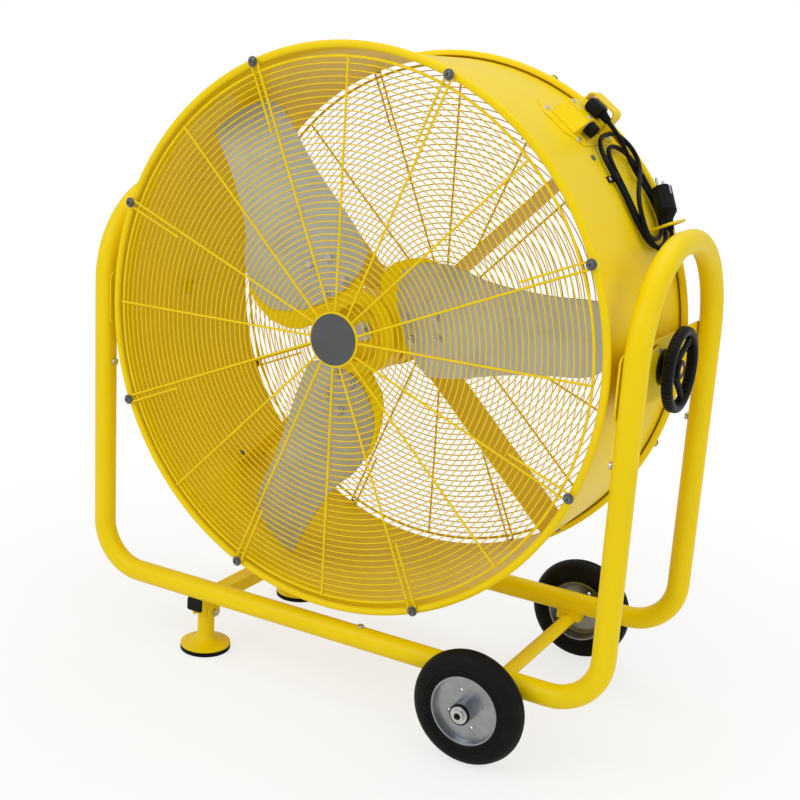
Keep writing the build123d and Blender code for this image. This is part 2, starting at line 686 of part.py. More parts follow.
def handwheel(angle, name):
    """A three-spoked hand nut on one of the pivot studs."""
    with BuildPart() as wheel_piece:
        with BuildSketch(pivot(angle, hand_in)):
            Circle(WHEEL_HUB_R)
        extrude(amount=HAND_RIM_X + 4 - hand_in, taper=4)
        across = Plane(origin=(0, 0, AXIS_Z), x_dir=(0, 1, 0), z_dir=(0, 0, 1))
        side = 1 if angle == 0 else -1
        with BuildSketch(across):
            with Locations((HAND_RIM_R, -side * HAND_RIM_X)):
                RectangleRounded(HAND_RIM_RADIAL, HAND_RIM_AXIAL, 6)
        revolve(axis=Axis((0, 0, AXIS_Z), (1, 0, 0)))
        with BuildSketch(pivot(angle, HAND_RIM_X - HAND_SPOKE_T / 2)):
            with PolarLocations(HAND_RIM_R / 2, HAND_SPOKES, start_angle=90):
                Rectangle(HAND_RIM_R, HAND_SPOKE_W)
        extrude(amount=HAND_SPOKE_T)
        with BuildSketch(pivot(angle, HAND_RIM_X - HAND_RIM_AXIAL)):
            with PolarLocations(HAND_RIM_R + HAND_RIM_RADIAL / 2 + 1.5, GRIPS):
                Circle(3.2)
        extrude(amount=2 * HAND_RIM_AXIAL, mode=Mode.SUBTRACT)
        with BuildSketch(pivot(angle, hand_in)):
            Circle(PIVOT_D / 2 + RUN)
        extrude(amount=HAND_RIM_X + 6 - hand_in, mode=Mode.SUBTRACT)
    keep(wheel_piece, name)


handwheel(0, "handwheel_wheel_end")
handwheel(180, "handwheel_foot_end")

# ---- motor ---------------------------------------------------------------
MOTOR_R = 72.0
MOTOR_WALL = 5.0
HOUSING_FRONT = -72.0
HOUSING_REAR = 80.0
BELL_T = 5.0
BELL_LIP = 6.0
BOSS_R = 27.0
BOSS_H = 13.0
BEARING_R = 20.0
BEARING_W = 12.0
SHAFT_D = 19.0
STATOR_R_IN = 42.0
STACK = (-35.0, 45.0)
WINDING = (-56.0, 64.0)
AIR_GAP = 0.6
BAND_T = 3.0
ARM_T = 3.0
ARM_Y = (-20.0, 80.0)
FLANGE_SPAN = 3.4         # degrees
housing_in = MOTOR_R - MOTOR_WALL
band_out = MOTOR_R + BAND_T
lead_r = 4.0
lead_off = ARM_T / 2 + lead_r


def beside_arm(angle, along, off, y):
    """A point at a distance along an arm and off its middle, counter-clockwise."""
    turn = math.radians(angle)
    return Vector(along * math.cos(turn) - off * math.sin(turn), y,
                  AXIS_Z + along * math.sin(turn) + off * math.cos(turn))


def section_at(angle):
    """The half plane through the fan's axis at an angle: local x is radius, local y is y."""
    turn = math.radians(angle)
    return Plane(origin=(0, 0, AXIS_Z), x_dir=(math.cos(turn), 0, math.sin(turn)),
                 z_dir=(-math.sin(turn), 0, math.cos(turn)))


lead_start = beside_arm(45, 0, lead_off, WIRE_HOLE_Y)
lead_axis = Plane(origin=lead_start, x_dir=(0, 1, 0),
                  z_dir=(math.cos(math.pi / 4), 0, math.sin(math.pi / 4)))
MOTOR_SCREW_D = 6.0
MOTOR_SCREW_Y = 30.0

with BuildPart() as motor_housing:
    with BuildSketch(face_plane(HOUSING_FRONT, 1)):
        Circle(MOTOR_R)
        Circle(housing_in, mode=Mode.SUBTRACT)
    extrude(amount=HOUSING_REAR - HOUSING_FRONT)
    for angle in range(0, 360, 90):
        with BuildSketch(radial_plane(housing_in, angle, MOTOR_SCREW_Y)):
            Circle(MOTOR_SCREW_D / 2)
        extrude(amount=2 * MOTOR_WALL, both=True, mode=Mode.SUBTRACT)
    with BuildSketch(lead_axis):
        Circle(lead_r)
    extrude(amount=MOTOR_R + 10, mode=Mode.SUBTRACT)
keep(motor_housing, "motor_housing")


def end_bell(face, facing, bore, name):
    """An end bell with a bearing seat, a spigot into the housing and cooling slots."""
    with BuildPart() as bell:
        plane = face_plane(face, facing)
        with BuildSketch(plane):
            Circle(MOTOR_R)
        extrude(amount=BELL_T)
        with BuildSketch(plane.offset(-BELL_LIP)):
            Circle(housing_in)
            Circle(housing_in - 4, mode=Mode.SUBTRACT)
        extrude(amount=BELL_LIP)
        with BuildSketch(plane.offset(-BELL_LIP)):
            Circle(BOSS_R)
        extrude(amount=BELL_LIP + BOSS_H, taper=2)
        with BuildSketch(plane.offset(-BELL_LIP)):
            Circle(BEARING_R)
        extrude(amount=BEARING_W, mode=Mode.SUBTRACT)
        if bore:
            with BuildSketch(plane):
                Circle(SHAFT_D / 2 + 1.5)
            extrude(amount=2 * BOSS_H, mode=Mode.SUBTRACT)
        with BuildSketch(plane):
            with PolarLocations(46, 8, start_angle=22.5):
                SlotOverall(24, 9)
        extrude(amount=BELL_T, mode=Mode.SUBTRACT)
        rims = bell.edges().filter_by(GeomType.CIRCLE).filter_by(lambda e: e.radius > MOTOR_R - 1)
        chamfer(rims.sort_by(Axis.Y)[0 if facing < 0 else -1], 1.5)
    keep(bell, name)


end_bell(HOUSING_FRONT, -1, True, "motor_bell_front")
end_bell(HOUSING_REAR, 1, False, "motor_bell_rear")

with BuildPart() as bearings:
    for face, facing in ((HOUSING_FRONT, -1), (HOUSING_REAR, 1)):
        with BuildSketch(face_plane(face, facing).offset(-BELL_LIP)):
            Circle(BEARING_R)
            Circle(SHAFT_D / 2 + RUN, mode=Mode.SUBTRACT)
        extrude(amount=BEARING_W)
keep(bearings, "motor_bearings")

with BuildPart() as stator:
    with BuildSketch(face_plane(STACK[0], 1)):
        Circle(housing_in)
        Circle(STATOR_R_IN, mode=Mode.SUBTRACT)
    extrude(amount=STACK[1] - STACK[0])
    for face, facing, length in ((STACK[0], -1, STACK[0] - WINDING[0]),
                                 (STACK[1], 1, WINDING[1] - STACK[1])):
        with BuildSketch(face_plane(face, facing)):
            Circle(housing_in - 7)
            Circle(STATOR_R_IN + 2, mode=Mode.SUBTRACT)
        extrude(amount=length, taper=6)
keep(stator, "stator")

with BuildPart() as motor_arms:
    with BuildSketch(face_plane(ARM_Y[0], 1)):
        Circle(band_out)
    extrude(amount=ARM_Y[1] - ARM_Y[0])
    for angle in arm_angles():
        arm_y = (ARM_Y[0] + ARM_Y[1]) / 2
        with BuildSketch(radial_plane(0, angle, arm_y)):
            Rectangle(ARM_Y[1] - ARM_Y[0], ARM_T)
        extrude(amount=skin_in - 1)
        with BuildSketch(section_at(angle)):
            with Locations((skin_in - ARM_T / 2, arm_y)):
                Rectangle(ARM_T, ARM_Y[1] - ARM_Y[0])
        revolve(axis=FAN_AXIS, revolution_arc=FLANGE_SPAN)
    with BuildSketch(face_plane(ARM_Y[0] - 1, 1)):
        Circle(MOTOR_R)
    extrude(amount=ARM_Y[1] - ARM_Y[0] + 2, mode=Mode.SUBTRACT)
    for angle in arm_angles():
        for y in ARM_SCREW_Y:
            with BuildSketch(radial_plane(DRUM_R, angle + ARM_SCREW_SHIFT, y)):
                Circle(ARM_SCREW_D / 2 + HOLE)
            extrude(amount=-20, mode=Mode.SUBTRACT)
    for angle in range(0, 360, 90):
        with BuildSketch(radial_plane(housing_in, angle, MOTOR_SCREW_Y)):
            Circle(MOTOR_SCREW_D / 2 + HOLE)
        extrude(amount=2 * MOTOR_WALL, mode=Mode.SUBTRACT)
    with BuildSketch(lead_axis):
        Circle(lead_r)
    extrude(amount=MOTOR_R + 10, mode=Mode.SUBTRACT)
keep(motor_arms, "motor_arms")

ARM_HEAD_R = 5.5
ARM_HEAD_H = 3.5
ARM_NUT_H = 4.0
with BuildPart() as motor_screws:
    for angle in range(0, 360, 90):
        with BuildSketch(radial_plane(housing_in, angle, MOTOR_SCREW_Y)):
            Circle(MOTOR_SCREW_D / 2)
        extrude(amount=band_out + 1 - housing_in)
        with BuildSketch(radial_plane(band_out + 0.05, angle, MOTOR_SCREW_Y)):
            RegularPolygon(MOTOR_SCREW_D, 6)
        extrude(amount=4)
    for angle in arm_angles():
        for y in ARM_SCREW_Y:
            spot = radial_plane(DRUM_R, angle + ARM_SCREW_SHIFT, y)
            with BuildSketch(spot):
                Circle(ARM_HEAD_R)
            extrude(amount=ARM_HEAD_H, taper=20)
            with BuildSketch(spot):
                Circle(ARM_SCREW_D / 2)
            extrude(amount=-(SKIN + ARM_T + ARM_NUT_H))
            with BuildSketch(spot.offset(-(SKIN + ARM_T))):
                RegularPolygon(ARM_HEAD_R, 6)
            extrude(amount=-ARM_NUT_H)
keep(motor_screws, "motor_screws")

DUCT_Y = (50.0, 80.0)
DUCT_OUT = 14.0
DUCT_WALL = 2.0
DUCT_R = (84.0, 384.0)
duct_mid = (DUCT_Y[0] + DUCT_Y[1]) / 2
with BuildPart() as cable_duct:
    at_arm = Plane(origin=beside_arm(45, DUCT_R[0], ARM_T / 2 + DUCT_OUT / 2, duct_mid),
                   x_dir=(0, 1, 0), z_dir=(math.cos(math.pi / 4), 0, math.sin(math.pi / 4)))
    with BuildSketch(at_arm):
        Rectangle(DUCT_Y[1] - DUCT_Y[0], DUCT_OUT)
        with Locations((0, -DUCT_WALL)):
            Rectangle(DUCT_Y[1] - DUCT_Y[0] - 2 * DUCT_WALL, DUCT_OUT, mode=Mode.SUBTRACT)
    extrude(amount=DUCT_R[1] - DUCT_R[0])
keep(cable_duct, "cable_duct")

LEAD_BEND_1 = 398.0
LEAD_BEND_2 = 440.0
LEAD_END = 482.0
box_lead = polar(LEAD_BEND_2, WIRE_HOLE_ANGLE, WIRE_HOLE_Y)
with BuildPart() as motor_lead:
    with BuildLine() as route:
        FilletPolyline(beside_arm(45, housing_in - 2, lead_off, WIRE_HOLE_Y),
                       beside_arm(45, LEAD_BEND_1, lead_off, WIRE_HOLE_Y),
                       box_lead, polar(LEAD_END, WIRE_HOLE_ANGLE, WIRE_HOLE_Y),
                       radius=[45, 45])
    with BuildSketch(lead_axis.offset(housing_in - 2)):
        Circle(lead_r)
    sweep(path=route.wires()[0])
keep(motor_lead, "motor_lead")

# ---- rotor: shaft, hub, blades ------------------------------------------
HUB_R = 73.0
HUB_FRONT = -142.0
HUB_REAR = -96.0
HUB_WALL = 12.0
RECESS_R = 48.0
RECESS = 25.0
REAR_POCKET = 12.0
HUB_BOSS_R = 20.0
SHAFT_FRONT = -116.0
shaft_rear = HOUSING_REAR + BELL_LIP - BEARING_W / 2 + 2
web_front = HUB_FRONT + RECESS

with BuildPart() as shaft:
    with BuildSketch(face_plane(SHAFT_FRONT, 1)):
        Circle(SHAFT_D / 2)
    extrude(amount=shaft_rear - SHAFT_FRONT)
    with BuildSketch(face_plane(SHAFT_FRONT, 1)):
        Circle(5)
    extrude(amount=22, mode=Mode.SUBTRACT)
keep(shaft, "shaft")

with BuildPart() as rotor_core:
    with BuildSketch(face_plane(STACK[0], 1)):
        Circle(STATOR_R_IN - AIR_GAP)
        Circle(SHAFT_D / 2, mode=Mode.SUBTRACT)
    extrude(amount=STACK[1] - STACK[0])
keep(rotor_core, "rotor_core")

CAMBER_R = 450.0
CAMBER_MID = 22.0         # chord position of the deepest point
CAMBER_REACH = 150.0
CAMBER_LIFT = 5.0
CARRIER_T = 4.0
BLADE_Y = -124.5
PITCH = math.radians(BLADE_PITCH)
BLADE_BOLTS = ((94, 23), (94, -17), (150, 23), (143, -15))
BLADE_BOLT_D = 8.0
CCW_EDGE = ((445, 53), (410, 58), (383, 61), (350, 67), (308, 77), (276, 87), (248, 100),
            (232, 111), (190, 128), (148, 129), (118, 119))
ROOT_EDGE = ((118, 119), (100, 96), (86, 62), (80, 20), (81, -15), (92, -52), (114, -82))
CW_EDGE = ((114, -82), (183, -83), (249, -77), (357, -76), (419, -73), (436, -64))
TIP_EDGE = ((436, -64), (448, -30), (452, 0), (451, 30), (445, 53))
CARRIER_EDGE = ((50, 40), (62, 96), (74, 112), (100, 130), (134, 138), (162, 138), (182, 128),
                (190, 100), (190, 50), (178, 8), (165, -30), (148, -43), (96, -48), (50, -34))


def camber(chord, offset):
    """Height of the blade's curved sheet above its chord plane, moved outwards by an offset."""
    reach = math.sqrt((CAMBER_R + offset) ** 2 - (chord - CAMBER_MID) ** 2)
    return CAMBER_R - reach - CAMBER_LIFT


def blade_frame(angle):
    """The blade's own plane: local x runs outwards, local y along the chord."""
    turn = math.radians(angle)
    out = Vector(math.cos(turn), 0, math.sin(turn))
    chord = (Vector(-math.sin(turn), 0, math.cos(turn)) * math.cos(PITCH)
             + Vector(0, -math.sin(PITCH), 0))
    return Plane(origin=(0, BLADE_Y, AXIS_Z), x_dir=out, z_dir=out.cross(chord))


def chord_section(frame):
    """A plane across the blade: local x runs along the chord, local y towards the front."""
    return Plane(origin=frame.origin, x_dir=frame.y_dir, z_dir=frame.x_dir)


def cambered_sheet(frame, offset, thickness, outline):
    """A cambered sheet with its bolt holes, cut to an outline that lies in the blade's plane."""
    low = CAMBER_MID - CAMBER_REACH
    high = CAMBER_MID + CAMBER_REACH
    with BuildPart() as sheet:
        with BuildSketch(chord_section(frame)):
            with BuildLine():
                ThreePointArc((low, camber(low, offset)), (CAMBER_MID, camber(CAMBER_MID, offset)),
                              (high, camber(high, offset)))
            trace(line_width=thickness)
        extrude(amount=BLADE_TIP_R + 10)
        with BuildSketch(frame):
            add(outline)
        extrude(amount=60, both=True, mode=Mode.INTERSECT)
        with BuildSketch(frame):
            with Locations(*BLADE_BOLTS):
                Circle(BLADE_BOLT_D / 2)
        extrude(amount=60, both=True, mode=Mode.SUBTRACT)
    return sheet.part


with BuildSketch() as blade_outline:
    with BuildLine():
        Spline(*CCW_EDGE)
        Spline(*ROOT_EDGE)
        Spline(*CW_EDGE)
        Spline(*TIP_EDGE)
    make_face()

with BuildSketch() as carrier_outline:
    with BuildLine():
        Polyline(*CARRIER_EDGE, close=True)
    make_face()

carriers = []
for index in range(BLADE_COUNT):
    frame = blade_frame(BLADE_ANGLE + index * 360 / BLADE_COUNT)
    under = (BLADE_T + CARRIER_T) / 2
    carriers.append(cambered_sheet(frame, under, CARRIER_T, carrier_outline.sketch))
    with BuildPart() as blade:
        add(cambered_sheet(frame, 0, BLADE_T, blade_outline.sketch))
    keep(blade, f"blade_{index + 1}")

with BuildPart() as hub:
    with BuildSketch(SECTION):
        with BuildLine():
            Polyline((SHAFT_D / 2, web_front), (RECESS_R, web_front), (RECESS_R + 2, HUB_FRONT),
                     (HUB_R - 3, HUB_FRONT), (HUB_R, HUB_FRONT + 3), (HUB_R, HUB_REAR),
                     (HUB_R - HUB_WALL, HUB_REAR), (HUB_R - HUB_WALL, HUB_REAR - REAR_POCKET),
                     (HUB_BOSS_R, HUB_REAR - REAR_POCKET), (HUB_BOSS_R, HUB_REAR),
                     (SHAFT_D / 2, HUB_REAR), close=True)
        make_face()
    revolve(axis=FAN_AXIS)
    add(carriers)
    with BuildSketch(face_plane(web_front)):
        Circle(RECESS_R)
    extrude(amount=RECESS + 20, mode=Mode.SUBTRACT)
keep(hub, "fan_hub")

with BuildPart() as hub_bolts:
    for index in range(BLADE_COUNT):
        frame = blade_frame(BLADE_ANGLE + index * 360 / BLADE_COUNT)
        for spot in BLADE_BOLTS:
            top = camber(spot[1], 0) + BLADE_T / 2
            with BuildSketch(frame.offset(top + 0.9)):
                with Locations(spot):
                    Circle(9)
            extrude(amount=1.1)
            with BuildSketch(frame.offset(top + 2)):
                with Locations(spot):
                    Circle(6.5)
            extrude(amount=4.5, taper=15)
            with BuildSketch(frame.offset(top + 2)):
                with Locations(spot):
                    Circle(BLADE_BOLT_D / 2)
            extrude(amount=-(BLADE_T + CARRIER_T + 9))
            with BuildSketch(frame.offset(top - BLADE_T - CARRIER_T - 0.8)):
                with Locations(spot):
                    RegularPolygon(7, 6)
            extrude(amount=-5)
    with BuildSketch(face_plane(web_front)):
        Circle(17)
    extrude(amount=3)
    with BuildSketch(face_plane(web_front - 3)):
        RegularPolygon(9, 6)
    extrude(amount=7)
    with BuildSketch(face_plane(web_front)):
        Circle(5)
    extrude(amount=-21)
keep(hub_bolts, "hub_bolts")

# ---- control box on the drum --------------------------------------------
BASE_T = 2.0
BASE_Y = (-28.0, 150.0)
BASE_SPAN = (46.3, 60.0)
BASE_CORNER = 34.0
BOX_ANGLE = 52.75
BOX_HALF = 27.0           # half its width round the drum
BOX_Y = (0.0, 130.0)
BOX_SLOPE = 24.0          # how far the front slopes back
BOX_TOP = 500.0
BOX_WALL = 2.5
LID_T = 1.6
base_r = DRUM_R + BASE_T
base_mid = (BASE_Y[0] + BASE_Y[1]) / 2
base_centre = (BASE_SPAN[0] + BASE_SPAN[1]) / 2
base_half = base_r * math.tan(math.radians((BASE_SPAN[1] - BASE_SPAN[0]) / 2))


def side_view(angle):
    """A plane that cuts the drum along its axis: local x is y, local y is radius."""
    turn = math.radians(angle)
    return Plane(origin=(0, 0, AXIS_Z), x_dir=(0, 1, 0),
                 z_dir=(math.sin(turn), 0, -math.cos(turn)))


def end_view(angle, y):
    """A plane square to the drum's axis: local x is counter-clockwise, local y is radius."""
    turn = math.radians(angle)
    return Plane(origin=(0, y, AXIS_Z), x_dir=(-math.sin(turn), 0, math.cos(turn)),
                 z_dir=(0, 1, 0))


with BuildPart() as base_plate:
    with BuildSketch(section_at(BASE_SPAN[1] + 3)):
        with Locations((DRUM_R + BASE_T / 2, base_mid)):
            Rectangle(BASE_T, BASE_Y[1] - BASE_Y[0])
    revolve(axis=FAN_AXIS, revolution_arc=BASE_SPAN[1] - BASE_SPAN[0] + 6)
    with BuildSketch(radial_plane(DRUM_R, base_centre, base_mid)):
        corners = Rectangle(BASE_Y[1] - BASE_Y[0], 2 * base_half).vertices()
        chamfer(corners, BASE_CORNER)
    extrude(amount=50, both=True, mode=Mode.INTERSECT)
    for angle, y in BASE_SCREWS:
        with BuildSketch(radial_plane(DRUM_R, angle, y)):
            Circle(BASE_SCREW_D / 2 + HOLE)
        extrude(amount=10, both=True, mode=Mode.SUBTRACT)
    with BuildSketch(radial_plane(DRUM_R, WIRE_HOLE_ANGLE, WIRE_HOLE_Y)):
        Circle(WIRE_HOLE_D / 2)
    extrude(amount=10, both=True, mode=Mode.SUBTRACT)
keep(base_plate, "control_base_plate")

SWITCH_Y = 40.0
SWITCH_R = 488.0
SWITCH_PLATE = (34.0, 22.0, 1.0)
KNOB_R = 12.0
KNOB_H = 15.0
KNOB_SHAFT_R = 3.0
LID_SCREW_D = 4.0
LID_SCREWS = [(y, x) for y in (36.0, 122.0) for x in (-20.0, 20.0)]
box_end = side_view(BOX_ANGLE).offset(BOX_HALF)

with BuildPart() as control_box:
    with BuildSketch(side_view(BOX_ANGLE)):
        with BuildLine():
            Polyline((BOX_Y[0], DRUM_R - 8), (BOX_Y[0], base_r + 2), (BOX_Y[0] + BOX_SLOPE, BOX_TOP),
                     (BOX_Y[1], BOX_TOP), (BOX_Y[1], DRUM_R - 8), close=True)
        make_face()
    extrude(amount=BOX_HALF, both=True)
    with BuildSketch(side_view(BOX_ANGLE)):
        with BuildLine():
            Polyline((BOX_Y[0] + BOX_WALL, DRUM_R - 8), (BOX_Y[0] + BOX_WALL, base_r + 1),
                     (BOX_Y[0] + BOX_SLOPE + 1.5, BOX_TOP - BOX_WALL),
                     (BOX_Y[1] - BOX_WALL, BOX_TOP - BOX_WALL), (BOX_Y[1] - BOX_WALL, DRUM_R - 8),
                     close=True)
        make_face()
    extrude(amount=BOX_HALF - BOX_WALL, both=True, mode=Mode.SUBTRACT)
    with BuildSketch(face_plane(BOX_Y[0] - 5, 1)):
        Circle(base_r)
    extrude(amount=BOX_Y[1] + 10, mode=Mode.SUBTRACT)
    with BuildSketch(box_end):
        with Locations((SWITCH_Y, SWITCH_R)):
            Circle(KNOB_SHAFT_R + HOLE)
    extrude(amount=-2 * BOX_WALL, mode=Mode.SUBTRACT)
    for y, x in LID_SCREWS:
        with BuildSketch(radial_plane(BOX_TOP, BOX_ANGLE, 0)):
            with Locations((y, x)):
                Circle(LID_SCREW_D / 2)
        extrude(amount=-2 * BOX_WALL, mode=Mode.SUBTRACT)
keep(control_box, "control_box")

with BuildPart() as control_lid:
    with BuildSketch(radial_plane(BOX_TOP, BOX_ANGLE, (BOX_Y[0] + BOX_SLOPE + BOX_Y[1]) / 2)):
        RectangleRounded(BOX_Y[1] - BOX_Y[0] - BOX_SLOPE, 2 * BOX_HALF, 3)
    extrude(amount=LID_T)
    for y, x in LID_SCREWS:
        with BuildSketch(radial_plane(BOX_TOP, BOX_ANGLE, 0)):
            with Locations((y, x)):
                Circle(LID_SCREW_D / 2)
        extrude(amount=LID_T, mode=Mode.SUBTRACT)
keep(control_lid, "control_box_lid")

with BuildPart() as control_screws:
    for index, (angle, y) in enumerate(BASE_SCREWS):
        seat = base_r if index < 2 else base_r + BRACKET_T
        with BuildSketch(radial_plane(seat, angle, y)):
            Circle(BASE_SCREW_D)
        extrude(amount=3, taper=20)
        with BuildSketch(radial_plane(seat, angle, y)):
            Circle(BASE_SCREW_D / 2)
        extrude(amount=-(seat - DRUM_R + SKIN + 5))
    lid_top = BOX_TOP + LID_T
    for y, x in LID_SCREWS:
        with BuildSketch(radial_plane(lid_top, BOX_ANGLE, 0)):
            with Locations((y, x)):
                Circle(LID_SCREW_D)
        extrude(amount=2.2, taper=20)
        with BuildSketch(radial_plane(lid_top, BOX_ANGLE, 0)):
            with Locations((y, x)):
                Circle(LID_SCREW_D / 2)
        extrude(amount=-(LID_T + BOX_WALL + 2))
    clip_seat = radial_plane(DRUM_R + 3, *CLIP_SCREW)
    with BuildSketch(clip_seat.offset(0.05)):
        Circle(CLIP_SCREW_D)
    extrude(amount=2.4, taper=20)
    with BuildSketch(clip_seat):
        Circle(CLIP_SCREW_D / 2)
    extrude(amount=-(3 + SKIN + 4))
keep(control_screws, "control_screws")

with BuildPart() as switch_plate:
    with BuildSketch(box_end):
        with Locations((SWITCH_Y, SWITCH_R)):
            SlotOverall(SWITCH_PLATE[0], SWITCH_PLATE[1])
            Circle(KNOB_SHAFT_R + HOLE, mode=Mode.SUBTRACT)
    extrude(amount=SWITCH_PLATE[2])
keep(switch_plate, "switch_plate")

with BuildPart() as switch_body:
    with BuildSketch(box_end.offset(-BOX_WALL)):
        with Locations((SWITCH_Y, SWITCH_R)):
            Rectangle(24, 13)
            Circle(KNOB_SHAFT_R + RUN, mode=Mode.SUBTRACT)
    extrude(amount=-15)
keep(switch_body, "switch_body")

with BuildPart() as switch_knob:
    with BuildSketch(box_end.offset(SWITCH_PLATE[2] + GAP)):
        with Locations((SWITCH_Y, SWITCH_R)):
            Circle(KNOB_R)
    extrude(amount=KNOB_H, taper=3)
    with BuildSketch(box_end.offset(SWITCH_PLATE[2] + GAP + KNOB_H - 0.5)):
        with Locations((SWITCH_Y, SWITCH_R)):
            Rectangle(3, 2 * KNOB_R - 4)
    extrude(amount=1.5)
    with BuildSketch(box_end.offset(SWITCH_PLATE[2] + GAP)):
        with Locations((SWITCH_Y, SWITCH_R)):
            Circle(KNOB_SHAFT_R)
    extrude(amount=-(BOX_WALL + SWITCH_PLATE[2] + 9))
keep(switch_knob, "switch_knob")

with BuildPart() as terminal_block:
    with BuildSketch(radial_plane(DRUM_R - 2, BOX_ANGLE, 100)):
        with Locations((0, 2)):
            Rectangle(36, 28)
    extrude(amount=15)
    with BuildSketch(face_plane(0, 1)):
        Circle(base_r)
    extrude(amount=BOX_Y[1], mode=Mode.SUBTRACT)
keep(terminal_block, "terminal_block")

# ---- brackets that hold the cord ----------------------------------------
BRACKET_HALF = 29.5
BRACKET_FOOT = 48.0
BRACKET_R = 516.5
BRACKET_BEND = 9.0
BRACKET_Y = (110.0, 145.0)
with BuildPart() as cord_bracket:
    with BuildSketch(end_view(BOX_ANGLE, BRACKET_Y[0])):
        with BuildLine():
            near = base_r - BRACKET_HALF ** 2 / (2 * base_r) + BRACKET_T / 2
            far = base_r - BRACKET_FOOT ** 2 / (2 * base_r) + BRACKET_T / 2
            FilletPolyline((-BRACKET_FOOT, far), (-BRACKET_HALF, near), (-BRACKET_HALF, BRACKET_R),
                           (BRACKET_HALF, BRACKET_R), (BRACKET_HALF, near), (BRACKET_FOOT, far),
                           radius=[3, BRACKET_BEND, BRACKET_BEND, 3])
        trace(line_width=BRACKET_T)
    extrude(amount=BRACKET_Y[1] - BRACKET_Y[0])
    with BuildSketch(face_plane(BRACKET_Y[0] - 5, 1)):
        Circle(base_r)
    extrude(amount=50, mode=Mode.SUBTRACT)
    for angle, y in BASE_SCREWS[2:]:
        with BuildSketch(radial_plane(DRUM_R, angle, y)):
            Circle(BASE_SCREW_D / 2 + HOLE)
        extrude(amount=10, mode=Mode.SUBTRACT)
keep(cord_bracket, "cord_bracket")

HOOK_ANGLE = 25.9
HOOK_Y = (84.0, 164.0)
HOOK_R = 516.0
HOOK_WIRE = 5.0
HOOK_BEND = 14.0
with BuildPart() as cord_hook:
    with BuildLine() as route:
        FilletPolyline(polar(DRUM_R - 3, HOOK_ANGLE, HOOK_Y[0]), polar(HOOK_R, HOOK_ANGLE, HOOK_Y[0]),
                       polar(HOOK_R, HOOK_ANGLE, HOOK_Y[1]), polar(DRUM_R - 3, HOOK_ANGLE, HOOK_Y[1]),
                       radius=HOOK_BEND)
    with BuildSketch(radial_plane(DRUM_R - 3, HOOK_ANGLE, HOOK_Y[0])):
        Circle(HOOK_WIRE / 2)
    sweep(path=route.wires()[0])
    with BuildSketch(face_plane(HOOK_Y[0] - 10, 1)):
        Circle(DRUM_R)
    extrude(amount=HOOK_Y[1], mode=Mode.SUBTRACT)
keep(cord_hook, "cord_hook")

# ---- supply cord: boot, wound cord and plug -----------------------------
CORD_D = 8.0
LIE = 480.0               # radius at which the cord lies on the drum
CORD_ROUTE = (
    # radius, y, angle
    (511.5, 68.1, 48.2), (505.0, 87.0, 45.2), (490.0, 112.0, 41.8), (LIE, 131.0, 38.0),
    (LIE, 141.0, 33.0), (LIE, 143.0, 28.6), (LIE, 128.0, 25.0), (LIE, 98.0, 23.9),
    (LIE, 66.0, 24.2), (LIE, 42.0, 27.0), (LIE, 35.0, 31.5), (LIE, 38.5, 36.5),
    (LIE, 46.0, 40.6), (LIE, 66.0, 43.8), (LIE, 94.0, 45.2), (LIE, 122.0, 45.0),
    (LIE, 148.0, 43.0), (LIE, 156.0, 39.0), (LIE, 154.0, 34.0), (LIE, 157.0, 29.0),
    (LIE, 143.0, 24.0), (LIE, 112.0, 22.2), (LIE, 70.0, 22.4), (LIE, 38.0, 24.6),
    (LIE, 23.0, 29.5), (LIE, 25.5, 35.0), (LIE, 24.5, 40.5), (481.0, 42.0, 45.0),
    (484.0, 70.0, 47.2), (489.0, 98.0, 47.5), (493.0, 128.0, 47.0), (494.0, 146.0, 43.6),
    (492.0, 138.0, 39.6), (489.5, 100.0, 36.2), (489.0, 60.0, 33.4), (489.0, 33.0, 29.4),
    (490.0, 27.0, 24.1), (495.0, 43.1, 21.8), (501.5, 68.5, 21.0), (506.2, 92.4, 22.2),
    (503.6, 104.6, 24.9),
)
CORD_BEND = 0.45
cord_points = [polar(radius, angle, y) for radius, y, angle in CORD_ROUTE]
cord_radii = []
for before, here, after in zip(cord_points, cord_points[1:], cord_points[2:]):
    turn = math.radians((here - before).get_angle(after - here))
    shorter = min((here - before).length, (after - here).length)
    cord_radii.append(CORD_BEND * shorter / math.tan(turn / 2))
print("cord bend radii", [round(radius) for radius in cord_radii])

cord_out = (cord_points[1] - cord_points[0]).normalized()
with BuildPart() as cord:
    with BuildLine() as route:
        FilletPolyline(*cord_points, radius=cord_radii)
    with BuildSketch(Plane(origin=cord_points[0], z_dir=cord_out)):
        Circle(CORD_D / 2)
    sweep(path=route.wires()[0])
keep(cord, "supply_cord")
length = route.wires()[0].length
section = math.pi * CORD_D ** 2 / 4
print("cord length", round(length), "volume over section times length",
      round(cord.part.volume / section / length, 4))

BOOT = (28.0, 34.0, 24.0)  # along y, round the drum, outwards
BOOT_NECK = 22.0
lid_top = BOX_TOP + LID_T
BOOT_AT = (62.0, -10.5)   # along y, round the drum
with BuildPart() as cord_boot:
    with BuildSketch(radial_plane(lid_top, BOX_ANGLE, 0)):
        with Locations(BOOT_AT):
            RectangleRounded(BOOT[0], BOOT[1], 8)
    extrude(amount=BOOT[2])
    fillet(cord_boot.faces().filter_by(GeomType.PLANE).sort_by_distance((0, 0, AXIS_Z))[-1].edges(), 4)
    with BuildSketch(Plane(origin=cord_points[0] - cord_out * BOOT_NECK, z_dir=cord_out)):
        Circle(8.6)
    extrude(amount=BOOT_NECK, taper=6)
keep(cord_boot, "cord_boot")

